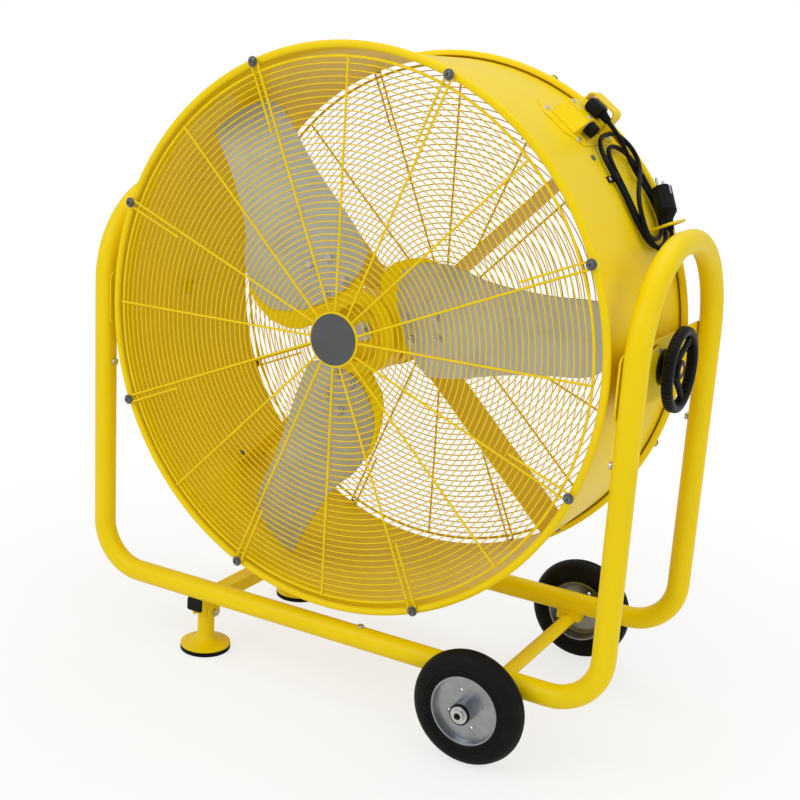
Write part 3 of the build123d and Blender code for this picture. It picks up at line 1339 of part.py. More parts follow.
PLUG_NECK = 20.0
PLUG_FLARE = 14.0
PLUG_FACE = 46.0
CLIP_LONG = 18.0
PLUG_R = 17.5
PIN_D = 4.8
PIN_L = 19.0
PIN_PITCH = 19.0
plug_way = (cord_points[-1] - cord_points[-2]).normalized()
plug_base = Plane(origin=cord_points[-1], x_dir=plug_way.cross(Vector(*cord_points[-1])), z_dir=plug_way)
plug_face = plug_base.offset(PLUG_NECK + PLUG_FLARE + PLUG_FACE)
with BuildPart() as plug:
    with BuildSketch(plug_base):
        Circle(6)
    extrude(amount=PLUG_NECK, taper=-5.6)
    with BuildSketch(plug_base.offset(PLUG_NECK)):
        Circle(8)
    with BuildSketch(plug_base.offset(PLUG_NECK + PLUG_FLARE)):
        Circle(PLUG_R)
    loft()
    with BuildSketch(plug_base.offset(PLUG_NECK + PLUG_FLARE)):
        Circle(PLUG_R)
    extrude(amount=PLUG_FACE)
    with BuildSketch(plug_face):
        with Locations((-PIN_PITCH / 2, 0), (PIN_PITCH / 2, 0)):
            Circle(PIN_D / 2)
    extrude(amount=-8, mode=Mode.SUBTRACT)
    with BuildSketch(plug_face):
        with Locations((0, PLUG_R), (0, -PLUG_R)):
            Rectangle(7, 5)
    extrude(amount=-CLIP_LONG, mode=Mode.SUBTRACT)
keep(plug, "plug_body")

with BuildPart() as pins:
    with BuildSketch(plug_face.offset(-8)):
        with Locations((-PIN_PITCH / 2, 0), (PIN_PITCH / 2, 0)):
            Circle(PIN_D / 2)
    extrude(amount=PIN_L + 8)
    with BuildSketch(plug_face.offset(-CLIP_LONG)):
        with Locations((0, PLUG_R - 1.75), (0, -PLUG_R + 1.75)):
            Rectangle(6, 1.5)
    extrude(amount=CLIP_LONG)
keep(pins, "plug_pins_and_clips")

CLIP_ANGLE = 38.0
CLIP_W = 11.0
CLIP_R = 6.4
CLIP_BORE = 4.4
CLIP_CORD = (25.0, 479.4)
with BuildPart() as clip:
    with BuildSketch(side_view(CLIP_ANGLE)):
        with Locations(CLIP_CORD):
            Circle(CLIP_R)
        with Locations(((CLIP_SCREW[1] - 7 + CLIP_CORD[0]) / 2, DRUM_R + 1)):
            Rectangle(CLIP_CORD[0] - CLIP_SCREW[1] + 7, 4)
        with Locations(CLIP_CORD):
            Circle(CLIP_BORE, mode=Mode.SUBTRACT)
    extrude(amount=CLIP_W / 2, both=True)
    with BuildSketch(face_plane(0, 1)):
        Circle(DRUM_R)
    extrude(amount=50, mode=Mode.SUBTRACT)
    with BuildSketch(radial_plane(DRUM_R, CLIP_ANGLE, CLIP_SCREW[1])):
        Circle(CLIP_SCREW_D / 2)
    extrude(amount=10, mode=Mode.SUBTRACT)
keep(clip, "cord_clip")

everything = Compound(children=nodes)
box = everything.bounding_box()
print("pieces", len(nodes), "box", [round(v, 1) for v in (*box.min, *box.max)])
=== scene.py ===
# %% [markdown]
# # A drum fan on a wheeled tube frame
# The solids of the fan come packed with their joints. This script is the look of it: a camera
# where the photographer stood, wires and rubber that solids can't show well, a finish for each
# surface, and soft light. Everything is in metres, in the frame that the solids use.

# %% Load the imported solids
import json
import math

import bmesh
import bpy
from mathutils import Matrix, Vector


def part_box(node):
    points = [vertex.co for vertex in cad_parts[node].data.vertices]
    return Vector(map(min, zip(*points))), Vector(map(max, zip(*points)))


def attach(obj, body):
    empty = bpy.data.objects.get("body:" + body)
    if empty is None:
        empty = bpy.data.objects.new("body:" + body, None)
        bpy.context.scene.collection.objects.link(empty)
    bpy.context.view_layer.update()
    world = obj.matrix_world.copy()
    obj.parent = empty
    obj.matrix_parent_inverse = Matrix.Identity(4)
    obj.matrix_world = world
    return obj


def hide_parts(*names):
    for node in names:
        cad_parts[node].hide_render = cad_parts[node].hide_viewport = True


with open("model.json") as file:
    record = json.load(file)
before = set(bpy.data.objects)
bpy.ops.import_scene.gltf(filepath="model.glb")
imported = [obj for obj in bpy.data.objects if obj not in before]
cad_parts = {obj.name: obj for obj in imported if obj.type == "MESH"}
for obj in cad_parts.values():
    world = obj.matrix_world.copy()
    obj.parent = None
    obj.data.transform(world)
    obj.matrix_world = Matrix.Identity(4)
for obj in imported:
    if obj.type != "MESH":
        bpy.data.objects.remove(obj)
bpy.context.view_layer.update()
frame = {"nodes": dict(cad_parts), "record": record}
SOLIDS = frame["nodes"]
scene = bpy.context.scene
scene.view_settings.view_transform = "Standard"

# %% [markdown]
# ## Three habits
# Every new thing is put into the scene under its own name. Every new piece gets its finish, the
# body that it moves with and the solid that it stands for. A mesh built corner by corner is
# smoothed, except at edges sharper than a given angle.

# %% Put into the scene, dress, and make a mesh


def place_in_scene(name, data):
    """A new object with its name, in the scene."""
    thing = bpy.data.objects.new(name, data)
    scene.collection.objects.link(thing)
    return thing


def dress(piece, surface, body, stands_for):
    """Give a piece its finish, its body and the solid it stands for."""
    piece.data.materials.append(surface)
    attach(piece, body)
    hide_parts(stands_for)


def mesh_from(build, name, sharp=None):
    """The built mesh, smooth but for the edges sharper than an angle in degrees."""
    mesh = bpy.data.meshes.new(name)
    build.to_mesh(mesh)
    build.free()
    if sharp is not None:
        mesh.shade_smooth()
        mesh.set_sharp_from_angle(angle=math.radians(sharp))
    return mesh


# %% [markdown]
# ## The camera
# A camera is a lens and a matrix. The three directions below are the camera's own right, up and
# ahead, and the stand is where it is, 2.35 metres from the middle of the drum's axis and 0.45
# metres above it. A matrix built from them is exact, where turning angles would be rounded.

# %% Camera
RIGHT = Vector((0.86911, 0.49083, 0.06111))
UP = Vector((-0.17489, 0.18938, 0.96620))
AHEAD = Vector((-0.46267, 0.85042, -0.25044))
STAND = Vector((1.11663, -2.02277, 1.11641))
LENS = 58.1
lens = bpy.data.cameras.new("camera")
lens.lens = LENS
lens.sensor_width = 36.0
lens.clip_end = 80.0
camera = place_in_scene("camera", lens)
turned = Matrix((RIGHT, UP, -AHEAD)).transposed()
camera.matrix_world = Matrix.Translation(STAND) @ turned.to_4x4()
scene.camera = camera
print("camera at", [round(v, 2) for v in STAND], "lens", lens.lens)

# %% [markdown]
# ## Finding a place on the drum
# Almost everything on this fan sits round one level axis that runs along y. A place on it is
# easiest to say as a radius, an angle counter-clockwise from the wheel end, and a y.

# %% A place round the drum's axis
AXIS_Z = 0.665


def on_drum(radius, angle, y):
    """A point round the drum's axis."""
    turn = math.radians(angle)
    return Vector((radius * math.cos(turn), y, AXIS_Z + radius * math.sin(turn)))


def drum_directions(angle):
    """Outwards and counter-clockwise at an angle round the drum."""
    turn = math.radians(angle)
    return Vector((math.cos(turn), 0, math.sin(turn))), Vector((-math.sin(turn), 0, math.cos(turn)))


# %% [markdown]
# ## The supply cord
# The cord is an eight millimetre rubber cable. It leaves the boot on the switch box, lies in two
# loops on the drum, crosses over them once and ends in the plug. A NURBS spline of order three
# bends as a cable does: it passes between its control points and never kinks at one. The bevel
# is one metre and each point's radius scales it down to the cord's, so that Blender's own box
# round the curve is as tight as the cord.

# %% The route of the cord: radius, y and angle of each control point
LIE = 0.480
CORD_ROUTE = (
    (0.5115, 0.0681, 48.2), (0.505, 0.087, 45.2), (0.490, 0.112, 41.8), (LIE, 0.131, 38.0),
    (LIE, 0.141, 33.0), (LIE, 0.143, 28.6), (LIE, 0.128, 25.0), (LIE, 0.098, 23.9),
    (LIE, 0.066, 24.2), (LIE, 0.042, 27.0), (LIE, 0.035, 31.5), (LIE, 0.0385, 36.5),
    (LIE, 0.046, 40.6), (LIE, 0.066, 43.8), (LIE, 0.094, 45.2), (LIE, 0.122, 45.0),
    (LIE, 0.148, 43.0), (LIE, 0.156, 39.0), (LIE, 0.154, 34.0), (LIE, 0.157, 29.0),
    (LIE, 0.143, 24.0), (LIE, 0.112, 22.2), (LIE, 0.070, 22.4), (LIE, 0.038, 24.6),
    (LIE, 0.023, 29.5), (LIE, 0.0255, 35.0), (LIE, 0.0245, 40.5), (0.481, 0.042, 45.0),
    (0.484, 0.070, 47.2), (0.489, 0.098, 47.5), (0.493, 0.128, 47.0), (0.494, 0.146, 43.6),
    (0.492, 0.138, 39.6), (0.4895, 0.100, 36.2), (0.489, 0.060, 33.4), (0.489, 0.033, 29.4),
    (0.490, 0.027, 24.1), (0.495, 0.0431, 21.8), (0.5015, 0.0685, 21.0), (0.5062, 0.0924, 22.2),
    (0.5036, 0.1046, 24.9),
)
CORD_D = 0.008
cord_points = [on_drum(radius, angle, y) for radius, y, angle in CORD_ROUTE]

# %% The cord itself
line = bpy.data.curves.new("cord", "CURVE")
line.dimensions = "3D"
line.bevel_depth = 1.0
line.bevel_resolution = 5
line.resolution_u = 16
line.use_fill_caps = True
spline = line.splines.new("NURBS")
spline.points.add(len(cord_points) - 1)
for point, place in zip(spline.points, cord_points):
    point.co = (*place, 1.0)
    point.radius = CORD_D / 2
spline.order_u = 3
spline.use_endpoint_u = True
cord = place_in_scene("cord", line)
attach(cord, "drum")
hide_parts("supply_cord")
print("cord spline length", round(spline.calc_length(), 3))

# %% [markdown]

# %% [markdown]
# ## Finishes
# Real paint, rubber and metal are never one flat colour. Each finish here drifts slowly between
# two near shades, its gloss drifts with it, and a fine bump gives it a skin. Painted and moulded
# edges are also never sharp, so a small bevel bends the shading round them. The values that are
# the same all over sit on the shader's own sockets.

# %% A finish: slow drift of shade and gloss, grime, a soft edge and a fine skin


def finish(name, shade, gloss_off=0.4, shine=0.5, metal=0.0, lacquer=0.0, drift=0.05,
           drift_size=10.0, skin=0.2, skin_size=900.0, grime=0.0, grime_shade=(0.2, 0.18, 0.15),
           edge=0.0):
    """A surface with its own small variation; gloss_off is its roughness, shine its gloss."""
    made = bpy.data.materials.new(name)
    made.use_nodes = True
    nodes = made.node_tree.nodes
    link = made.node_tree.links.new
    nodes.clear()
    surface = nodes.new("ShaderNodeBsdfPrincipled")
    surface.inputs["Metallic"].default_value = metal
    surface.inputs["Specular IOR Level"].default_value = shine
    surface.inputs["Coat Weight"].default_value = lacquer
    surface.inputs["Coat Roughness"].default_value = 0.14
    out = nodes.new("ShaderNodeOutputMaterial")
    link(surface.outputs["BSDF"], out.inputs["Surface"])
    where = nodes.new("ShaderNodeTexCoord").outputs["Object"]
    slow = nodes.new("ShaderNodeTexNoise")
    slow.inputs["Scale"].default_value = drift_size
    slow.inputs["Detail"].default_value = 4.0
    link(where, slow.inputs["Vector"])
    shades = nodes.new("ShaderNodeValToRGB")
    shades.color_ramp.elements[0].position = 0.3
    shades.color_ramp.elements[0].color = (*[c * (1 - drift) for c in shade], 1)
    shades.color_ramp.elements[1].position = 0.7
    shades.color_ramp.elements[1].color = (*[min(1.0, c * (1 + drift)) for c in shade], 1)
    link(slow.outputs["Fac"], shades.inputs["Fac"])
    tint = shades.outputs["Color"]
    if grime > 0:
        specks = nodes.new("ShaderNodeTexNoise")
        specks.inputs["Scale"].default_value = drift_size * 2.3
        specks.inputs["Detail"].default_value = 8.0
        specks.inputs["Roughness"].default_value = 0.72
        link(where, specks.inputs["Vector"])
        amount = nodes.new("ShaderNodeMapRange")
        amount.inputs["From Min"].default_value = 0.5
        amount.inputs["From Max"].default_value = 0.75
        amount.inputs["To Max"].default_value = grime
        link(specks.outputs["Fac"], amount.inputs["Value"])
        over = nodes.new("ShaderNodeMix")
        over.data_type = "RGBA"
        over.inputs[7].default_value = (*grime_shade, 1)
        link(amount.outputs["Result"], over.inputs[0])
        link(tint, over.inputs[6])
        tint = over.outputs[2]
    link(tint, surface.inputs["Base Color"])
    gloss = nodes.new("ShaderNodeMapRange")
    gloss.inputs["To Min"].default_value = max(0.05, gloss_off - 0.08)
    gloss.inputs["To Max"].default_value = min(1.0, gloss_off + 0.08)
    link(slow.outputs["Fac"], gloss.inputs["Value"])
    link(gloss.outputs["Result"], surface.inputs["Roughness"])
    fine = nodes.new("ShaderNodeTexNoise")
    fine.inputs["Scale"].default_value = skin_size
    fine.inputs["Detail"].default_value = 2.0
    link(where, fine.inputs["Vector"])
    bump = nodes.new("ShaderNodeBump")
    bump.inputs["Strength"].default_value = skin
    bump.inputs["Distance"].default_value = 0.0003
    link(fine.outputs["Fac"], bump.inputs["Height"])
    if edge > 0:
        soft_edge = nodes.new("ShaderNodeBevel")
        soft_edge.samples = 4
        soft_edge.inputs["Radius"].default_value = edge
        link(soft_edge.outputs["Normal"], bump.inputs["Normal"])
    link(bump.outputs["Normal"], surface.inputs["Normal"])
    return made


# %% [markdown]
# ## Yellow powder coat
# The frame, drum and guards are sprayed with a dry powder and baked. That leaves a bright, even,
# rather glossy skin with a faint orange-peel surface. The drift is small, and the peel is bump.

# %% Powder coat
POWDER_COAT = finish("yellow_powder_coat", (0.90, 0.66, 0.0), gloss_off=0.38, shine=0.16,
                     lacquer=0.03, drift=0.03, drift_size=5.0, skin=0.22, skin_size=620.0,
                     edge=0.0012)
WIRE_COAT = finish("yellow_wire_coat", (0.88, 0.64, 0.0), gloss_off=0.36, shine=0.2, lacquer=0.03,
                   drift=0.04, drift_size=30.0, skin=0.1, skin_size=900.0)

# %% [markdown]
# ## Blade sheet, zinc and steel
# The blades are plain rolled aluminium that has dulled and gathered dust. The small hardware is
# zinc plated. The bolts of the guards and the motor's screws are darker, oiled steel. The wheel
# rims are steel too, in a darker grey than zinc that paints in the shade of their deep recess.

# %% Metals
BLADE_SHEET = finish("dulled_aluminium", (0.53, 0.53, 0.46), gloss_off=0.42, metal=0.55, drift=0.08,
                     drift_size=9.0, skin=0.15, skin_size=1200.0, grime=0.45,
                     grime_shade=(0.34, 0.32, 0.24))
ZINC = finish("zinc_plate", (0.60, 0.60, 0.61), gloss_off=0.34, metal=0.95, drift=0.1,
              drift_size=60.0, skin=0.25, skin_size=1500.0, grime=0.3,
              grime_shade=(0.30, 0.28, 0.25), edge=0.0005)
DARK_STEEL = finish("oiled_steel", (0.17, 0.17, 0.18), gloss_off=0.36, metal=0.85, drift=0.2,
                    drift_size=80.0, skin=0.25, skin_size=1500.0, edge=0.0005)
# Rim steel: the steel's own grey, made darker to paint in the shade of the rims' deep recess.
RIM_STEEL_SHADE_DARKENED = finish("rim_steel_darkened_for_shade", (0.36, 0.38, 0.41), gloss_off=0.3, metal=0.95, drift=0.12,
                   drift_size=45.0, skin=0.25, skin_size=1300.0, grime=0.35,
                   grime_shade=(0.16, 0.16, 0.16), edge=0.001)
MOTOR_STEEL = finish("motor_steel", (0.28, 0.27, 0.26), gloss_off=0.42, metal=0.9, drift=0.1,
                     drift_size=50.0, skin=0.25, skin_size=1000.0)

# %% [markdown]
# ## Rubber and plastic
# Black rubber and plastic are darker than they look: under a hundredth of white. What tells them
# apart is the skin. Rubber is dull with a dusty bloom, moulded plastic is finer and glossier.

# %% Rubbers and plastics
CORD_RUBBER = finish("cord_rubber", (0.005, 0.005, 0.005), gloss_off=0.45, shine=0.12, drift=0.2,
                     drift_size=40.0, skin=0.25, skin_size=1400.0)
TYRE_RUBBER = finish("tyre_rubber", (0.005, 0.005, 0.005), gloss_off=0.5, shine=0.12, drift=0.25,
                     drift_size=30.0, skin=0.4, skin_size=1100.0, grime=0.25,
                     grime_shade=(0.012, 0.012, 0.011))
MOULDED = finish("moulded_black", (0.005, 0.005, 0.005), gloss_off=0.36, shine=0.14, drift=0.15,
                 drift_size=50.0, skin=0.35, skin_size=1800.0, edge=0.0008)
GREY_COVER = finish("grey_cover", (0.075, 0.077, 0.082), gloss_off=0.42, drift=0.08,
                    drift_size=30.0, skin=0.3, skin_size=1500.0, edge=0.0008)

# %% [markdown]
# ## Dressing the solids
# The record names a finish for each solid. Most solids have the right shape already and only
# need their finish. The guards' bolts, the motor's screws and the wheel rims then get their own.

# %% A finish for every solid
BY_SLOT = {
    "yellow_paint": POWDER_COAT, "zinc_steel": ZINC, "aluminium_sheet": BLADE_SHEET,
    "black_rubber": CORD_RUBBER, "tyre_rubber": TYRE_RUBBER, "black_plastic": MOULDED,
    "grey_plastic": GREY_COVER, "motor_steel": MOTOR_STEEL,
}
SLOT_OF = {entry["node"]: entry["material_slot"] for entry in frame["record"]["subparts"]}
for name, slot in SLOT_OF.items():
    SOLIDS[name].data.materials.clear()
    SOLIDS[name].data.materials.append(BY_SLOT[slot])
for name in ("grille_bolts", "motor_screws"):
    SOLIDS[name].data.materials[0] = DARK_STEEL
# The rims get the darker steel, which paints in the shade of their recess.
for name in ("wheel_rim_front", "wheel_rim_rear"):
    SOLIDS[name].data.materials[0] = RIM_STEEL_SHADE_DARKENED
cord.data.materials.append(CORD_RUBBER)
print("dressed", len(SLOT_OF), "solids")

# %% [markdown]
# ## Wire guards
# Each guard is a fan of straight wires with rings welded behind them. Eight of the wires run out
# to a bolt of the rim, turn round it and come back. Round wire shines along a thin line, which
# square stock can't do, so each guard is drawn as curves with a round bevel, for its rings, its
# edge ring and its spokes, and the drawings are then made into meshes.

# %% Wire stock


def wire(thickness):
    """An empty drawing for round wire."""
    data = bpy.data.curves.new("wire", "CURVE")
    data.dimensions = "3D"
    data.bevel_depth = thickness / 2
    data.bevel_resolution = 3
    data.resolution_u = 28
    data.use_fill_caps = True
    return data


def make_wire(data, name, body, stands_for):
    """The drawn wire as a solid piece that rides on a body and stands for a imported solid."""
    drawn = place_in_scene("drawn", data)
    looked_at = drawn.evaluated_get(bpy.context.evaluated_depsgraph_get())
    mesh = bpy.data.meshes.new_from_object(looked_at)
    bpy.data.objects.remove(drawn)
    mesh.materials.clear()
    dress(place_in_scene(name, mesh), WIRE_COAT, body, stands_for)
    print(name, len(mesh.polygons), "faces")


def add_ring(data, radius, y):
    """A closed ring of wire round the drum's axis."""
    ring = data.splines.new("BEZIER")
    ring.bezier_points.add(3)
    for quarter, point in enumerate(ring.bezier_points):
        point.handle_left_type = point.handle_right_type = "AUTO"
        point.co = on_drum(radius, 90 * quarter, y)
    ring.use_cyclic_u = True


def add_run(data, places):
    """A run of wire through places, with plain corners."""
    run = data.splines.new("POLY")
    run.points.add(len(places) - 1)
    for point, place in zip(run.points, places):
        point.co = (*place, 1.0)


# %% Sizes of the guards
FRONT_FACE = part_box("drum_shell")[0][1]
REAR_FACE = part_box("drum_shell")[1][1]
SPOKE_D = 0.004
RING_D = 0.0022
EDGE_RING_D = 0.005
RINGS = 38
FIRST_RING = 0.060
EDGE_RING = 0.461
SPOKES = 16
HUB_WIRE = 0.024
BOLT_CIRCLE = 0.479
WELD = 0.0007
print("guard faces at y", round(FRONT_FACE, 4), round(REAR_FACE, 4))

# %% [markdown]
# ## The wire round a bolt
# A bolt's wire runs out on one side of the bolt, round it in half a turn, and back on the other
# side for 120 millimetres, closing in a little on itself.

# %% The bent spokes
EYE = 0.006
EYE_BACK = 0.120
EYE_CLOSE = 0.0012


def eye_run(angle, y):
    """Places along a wire that runs out at an angle, round a bolt and back."""
    out, across = drum_directions(angle)
    middle = Vector((0, y, AXIS_Z))
    places = [middle + out * HUB_WIRE - across * EYE]
    for step in range(13):
        turn = math.radians(-90 + 15 * step)
        places.append(middle + out * (BOLT_CIRCLE + EYE * math.cos(turn))
                      + across * EYE * math.sin(turn))
    places.append(middle + out * (BOLT_CIRCLE - EYE_BACK) + across * (EYE - EYE_CLOSE))
    return places


def guard(end, face, inwards):
    """Rings and spokes of the guard at one end of the drum."""
    spoke_y = face - inwards * SPOKE_D / 2
    ring_y = spoke_y + inwards * (SPOKE_D / 2 + RING_D / 2 - WELD)
    edge_y = spoke_y + inwards * (SPOKE_D / 2 + EDGE_RING_D / 2 - WELD)
    rings = wire(RING_D)
    step = (EDGE_RING - FIRST_RING) / RINGS
    for index in range(RINGS):
        add_ring(rings, FIRST_RING + index * step, ring_y)
    make_wire(rings, f"guard_rings_{end}", "drum", f"grille_{end}")
    edge = wire(EDGE_RING_D)
    add_ring(edge, EDGE_RING, edge_y)
    make_wire(edge, f"guard_edge_{end}", "drum", f"grille_{end}")
    spokes = wire(SPOKE_D)
    for index in range(SPOKES):
        angle = index * 360 / SPOKES
        if index % 2:
            add_run(spokes, eye_run(angle, spoke_y))
        else:
            out = drum_directions(angle)[0]
            middle = Vector((0, spoke_y, AXIS_Z))
            add_run(spokes, [middle + out * HUB_WIRE, middle + out * (EDGE_RING + 0.001)])
    make_wire(spokes, f"guard_spokes_{end}", "drum", f"grille_{end}")


guard("front", FRONT_FACE, 1)
guard("rear", REAR_FACE, -1)

# %% [markdown]
# ## Turning a profile
# Tyres, discs and tapered sleeves are round about a line. They could each be a cylinder with
# loops cut into it, but a drawn half section, turned about the line, gives every step and groove
# its true place in one go. The helper takes the section as pairs of radius and place along it.

# %% A lathe for half sections


def turn_profile(name, section, foot, along, steps=96, closed=False, sharp=32.0):
    """A mesh turned from a half section of (radius, along) about a line from a foot."""
    aim = Vector(along).to_track_quat("Z", "Y").to_matrix().to_4x4()
    place = Matrix.Translation(Vector(foot)) @ aim
    build = bmesh.new()
    rows = []
    for step in range(steps):
        turn = 2 * math.pi * step / steps
        rows.append([build.verts.new(place @ Vector((r * math.cos(turn), r * math.sin(turn), z)))
                     for r, z in section])
    pairs = list(zip(range(len(section)), range(1, len(section))))
    if closed:
        pairs.append((len(section) - 1, 0))
    for row, following in zip(rows, rows[1:] + rows[:1]):
        for a, b in pairs:
            build.faces.new((row[a], following[a], following[b], row[b]))
    if not closed:
        build.faces.new([row[0] for row in reversed(rows)])
        build.faces.new([row[-1] for row in rows])
    bmesh.ops.recalc_face_normals(build, faces=build.faces)
    return place_in_scene(name, mesh_from(build, name, sharp))


# %% [markdown]
# ## Tyres
# The tyres are solid rubber: a full round crown with a thin rib where the two halves of the
# mould met, two fine steps on each wall, and a bead that sits over the rim.

# %% Sizes of the tyres
AXLE = Vector((0.317, 0, 0.100))
WHEEL_Y = 0.250
BEAD_R = 0.060
WALL_R = 0.076
CROWN = 0.0234
HALF_W = 0.023
RIB = 0.0012
TYRE_R = 0.100
FLAT = 0.0235
STEP_DEPTH = 0.0009
WALL_STEPS = (0.0655, 0.0705)
CROWN_TURN = 6


def tyre_wall():
    """The wall of a tyre from its bead to the start of the crown."""
    wall = [(BEAD_R, 0.0195), (0.0615, 0.0218), (0.064, 0.0232)]
    for step_r in WALL_STEPS:
        wall += [(step_r, FLAT), (step_r + 0.0003, FLAT - STEP_DEPTH),
                 (step_r + 0.0009, FLAT - STEP_DEPTH), (step_r + 0.0012, FLAT)]
    return wall


def tyre_section():
    """The whole half section of a tyre, round from bead to bead."""
    wall = tyre_wall()
    crown = []
    for step in range(1, 16):
        turn = math.radians(90 - CROWN_TURN * step)
        crown.append((WALL_R + CROWN * math.cos(turn), HALF_W * math.sin(turn)))
    crown = [(r, y) for r, y in crown if y > 1.5 * RIB]
    rib = [(WALL_R + CROWN - 0.0002, RIB), (TYRE_R, RIB * 0.7)]
    half = wall + crown + rib
    return half + [(r, -y) for r, y in reversed(half)]


for end, side in (("front", -1), ("rear", 1)):
    tyre = turn_profile(f"tyre_tread_{end}", tyre_section(), AXLE + Vector((0, side * WHEEL_Y, 0)),
                        (0, side, 0), steps=128, closed=True)
    dress(tyre, TYRE_RUBBER, f"wheel_{end}", f"tyre_{end}")
    print(tyre.name, len(tyre.data.polygons), "faces")

# %% [markdown]
# ## The cord's boot
# Where the cord leaves the switch box it passes a moulded boot, shaped like a bar of soap, with a
# ribbed sleeve that keeps the cord from folding sharply. The bar is a block whose edges are
# bevelled wide until they meet; the sleeve is turned from a ribbed section.

# %% The bar of the boot
BOX_ANGLE = 52.75
LID_R = 0.5016
BOOT = (0.034, 0.028, 0.024)
BOOT_Y = 0.062
BOOT_SHIFT = 0.0105
box_out, box_across = drum_directions(BOX_ANGLE)
boot_middle = (Vector((0, BOOT_Y, AXIS_Z)) + box_out * (LID_R + BOOT[2] / 2)
               - box_across * BOOT_SHIFT)
block = bmesh.new()
bmesh.ops.create_cube(block, size=1.0)
shape = Matrix((box_across * BOOT[0], Vector((0, BOOT[1], 0)), box_out * BOOT[2])).transposed()
bmesh.ops.transform(block, matrix=Matrix.Translation(boot_middle) @ shape.to_4x4(),
                    verts=block.verts)
bmesh.ops.recalc_face_normals(block, faces=block.faces)
boot = place_in_scene("boot_bar", mesh_from(block, "boot_bar"))
rounding = boot.modifiers.new("rounding", "BEVEL")
rounding.width = 0.0085
rounding.segments = 6
rounding.profile = 0.55
rounding.limit_method = "NONE"
boot.data.shade_smooth()
dress(boot, MOULDED, "drum", "cord_boot")

# %% The ribbed sleeve
SLEEVE = 0.022
SLEEVE_R = 0.0086
SLEEVE_TAPER = 0.0023
RIBS = 7
RIB_PITCH = 0.003
RIB_DEPTH = 0.0011
sleeve_way = (cord_points[1] - cord_points[0]).normalized()
ribs = []
for index in range(RIBS):
    along = 0.001 + index * RIB_PITCH
    radius = SLEEVE_R - SLEEVE_TAPER * index / (RIBS - 1)
    ribs += [(radius, along), (radius, along + 0.0016), (radius - RIB_DEPTH, along + 0.0018),
             (radius - RIB_DEPTH, along + 0.0028)]
section = [(SLEEVE_R, 0.0)] + [pair for pair in ribs if pair[1] < SLEEVE] + [(0.0050, SLEEVE)]
sleeve = turn_profile("boot_sleeve", section, cord_points[0] - sleeve_way * SLEEVE, sleeve_way,
                      steps=48)
dress(sleeve, CORD_RUBBER, "drum", "cord_boot")
print("boot", [round(v * 1000) for v in BOOT], "sleeve", round(SLEEVE * 1000), "mm")

# %% [markdown]
# ## The hub plates of the guards
# The spokes end on a plain round plate, one for each guard, with a softened edge.

# %% Hub plates
PLATE_R = 0.0475
PLATE_T = 0.002
for end, face, inwards in (("front", FRONT_FACE, 1), ("rear", REAR_FACE, -1)):
    seat = face - inwards * (SPOKE_D - WELD)
    section = [(0.0003, 0.0), (PLATE_R, 0.0), (PLATE_R, PLATE_T * 0.7),
               (PLATE_R - 0.0006, PLATE_T), (0.0003, PLATE_T)]
    hub_plate = turn_profile(f"guard_hub_{end}", section, (0, seat, AXIS_Z), (0, -inwards, 0))
    dress(hub_plate, POWDER_COAT, "drum", f"grille_{end}")

# %% [markdown]
# ## The hub disc of the front guard
# The disc in the middle of the guard is a moulded cap: almost flat, with a shallow dish and a
# rounded edge that catches the light. It is one turned section.

# %% Hub disc
DISC_R = 0.044
disc_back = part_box("grille_hub_cover")[1][1]
disc_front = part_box("grille_hub_cover")[0][1]
thick = disc_back - disc_front
section = [(0.0003, 0.0), (DISC_R - 0.0004, 0.0), (DISC_R, thick * 0.3),
           (DISC_R - 0.0002, thick * 0.7), (DISC_R - 0.0012, thick * 0.95),
           (DISC_R - 0.003, thick), (DISC_R - 0.005, thick * 0.9), (0.030, thick * 0.72),
           (0.012, thick * 0.66), (0.0003, thick * 0.66)]
disc = turn_profile("hub_disc", section, (0, disc_back, AXIS_Z), (0, -1, 0), steps=96)
dress(disc, GREY_COVER, "drum", "grille_hub_cover")

# %% [markdown]
# ## Handwheels
# The tilt is clamped by a moulded handwheel at each end: a rim with a row of fine teeth for the
# grip, a hub with a plain bore, and three spokes that sink from the rim to the hub.
# Teeth are too many to cut one by one. The rim is a ring of cross sections, and every other pair
# of sections is a little thinner across, which leaves a tooth between them.

# %% A ring of teeth
HAND_RIM_X = 0.531
HAND_RIM_R = 0.064
HAND_HALF = (0.0078, 0.0095)
HAND_TEETH = 54
TOOTH = 0.0013
HAND_BACK = 0.5059
HAND_FRONT = 0.535
STUD_R = 0.0081


def squared_round(turn, half_a, half_b, power=0.72):
    """A place on a rounded rectangle, as two offsets."""
    c, s = math.cos(turn), math.sin(turn)
    return (math.copysign(abs(c) ** power, c) * half_a, math.copysign(abs(s) ** power, s) * half_b)


def join_loops(build, loops, closed):
    """Faces between neighbouring loops of vertices."""
    following = loops[1:] + (loops[:1] if closed else [])
    for loop, after in zip(loops, following):
        for k in range(len(loop)):
            build.faces.new((loop[k], after[k], after[k - 1], loop[k - 1]))


def toothed_rim(build, side):
    """The rim of a handwheel with its teeth."""
    loops = []
    for step in range(4 * HAND_TEETH):
        turn = 2 * math.pi * step / (4 * HAND_TEETH)
        cut = TOOTH if step % 4 in (1, 2) else 0.0
        loop = []
        for corner in range(20):
            radial, axial = squared_round(2 * math.pi * corner / 20, HAND_HALF[0] - cut,
                                          HAND_HALF[1])
            r = HAND_RIM_R + radial
            loop.append(build.verts.new((side * (HAND_RIM_X + axial), r * math.cos(turn),
                                         AXIS_Z + r * math.sin(turn))))
        loops.append(loop)
    join_loops(build, loops, True)


# %% [markdown]
# ## Spokes of a handwheel
# A spoke is a row of rounded sections from inside the hub to inside the rim. It widens at both
# ends, as a moulding does where it has to leave the mould without tearing.

# %% Hub and spokes
SPOKE_PLACES = ((0.012, 0.522, 0.0095, 0.0055), (0.022, 0.524, 0.0080, 0.0048),
                (0.038, 0.528, 0.0068, 0.0042), (0.052, 0.5305, 0.0070, 0.0044),
                (0.061, 0.531, 0.0088, 0.0052))
SPOKE_TURNS = (55, 175, 295)


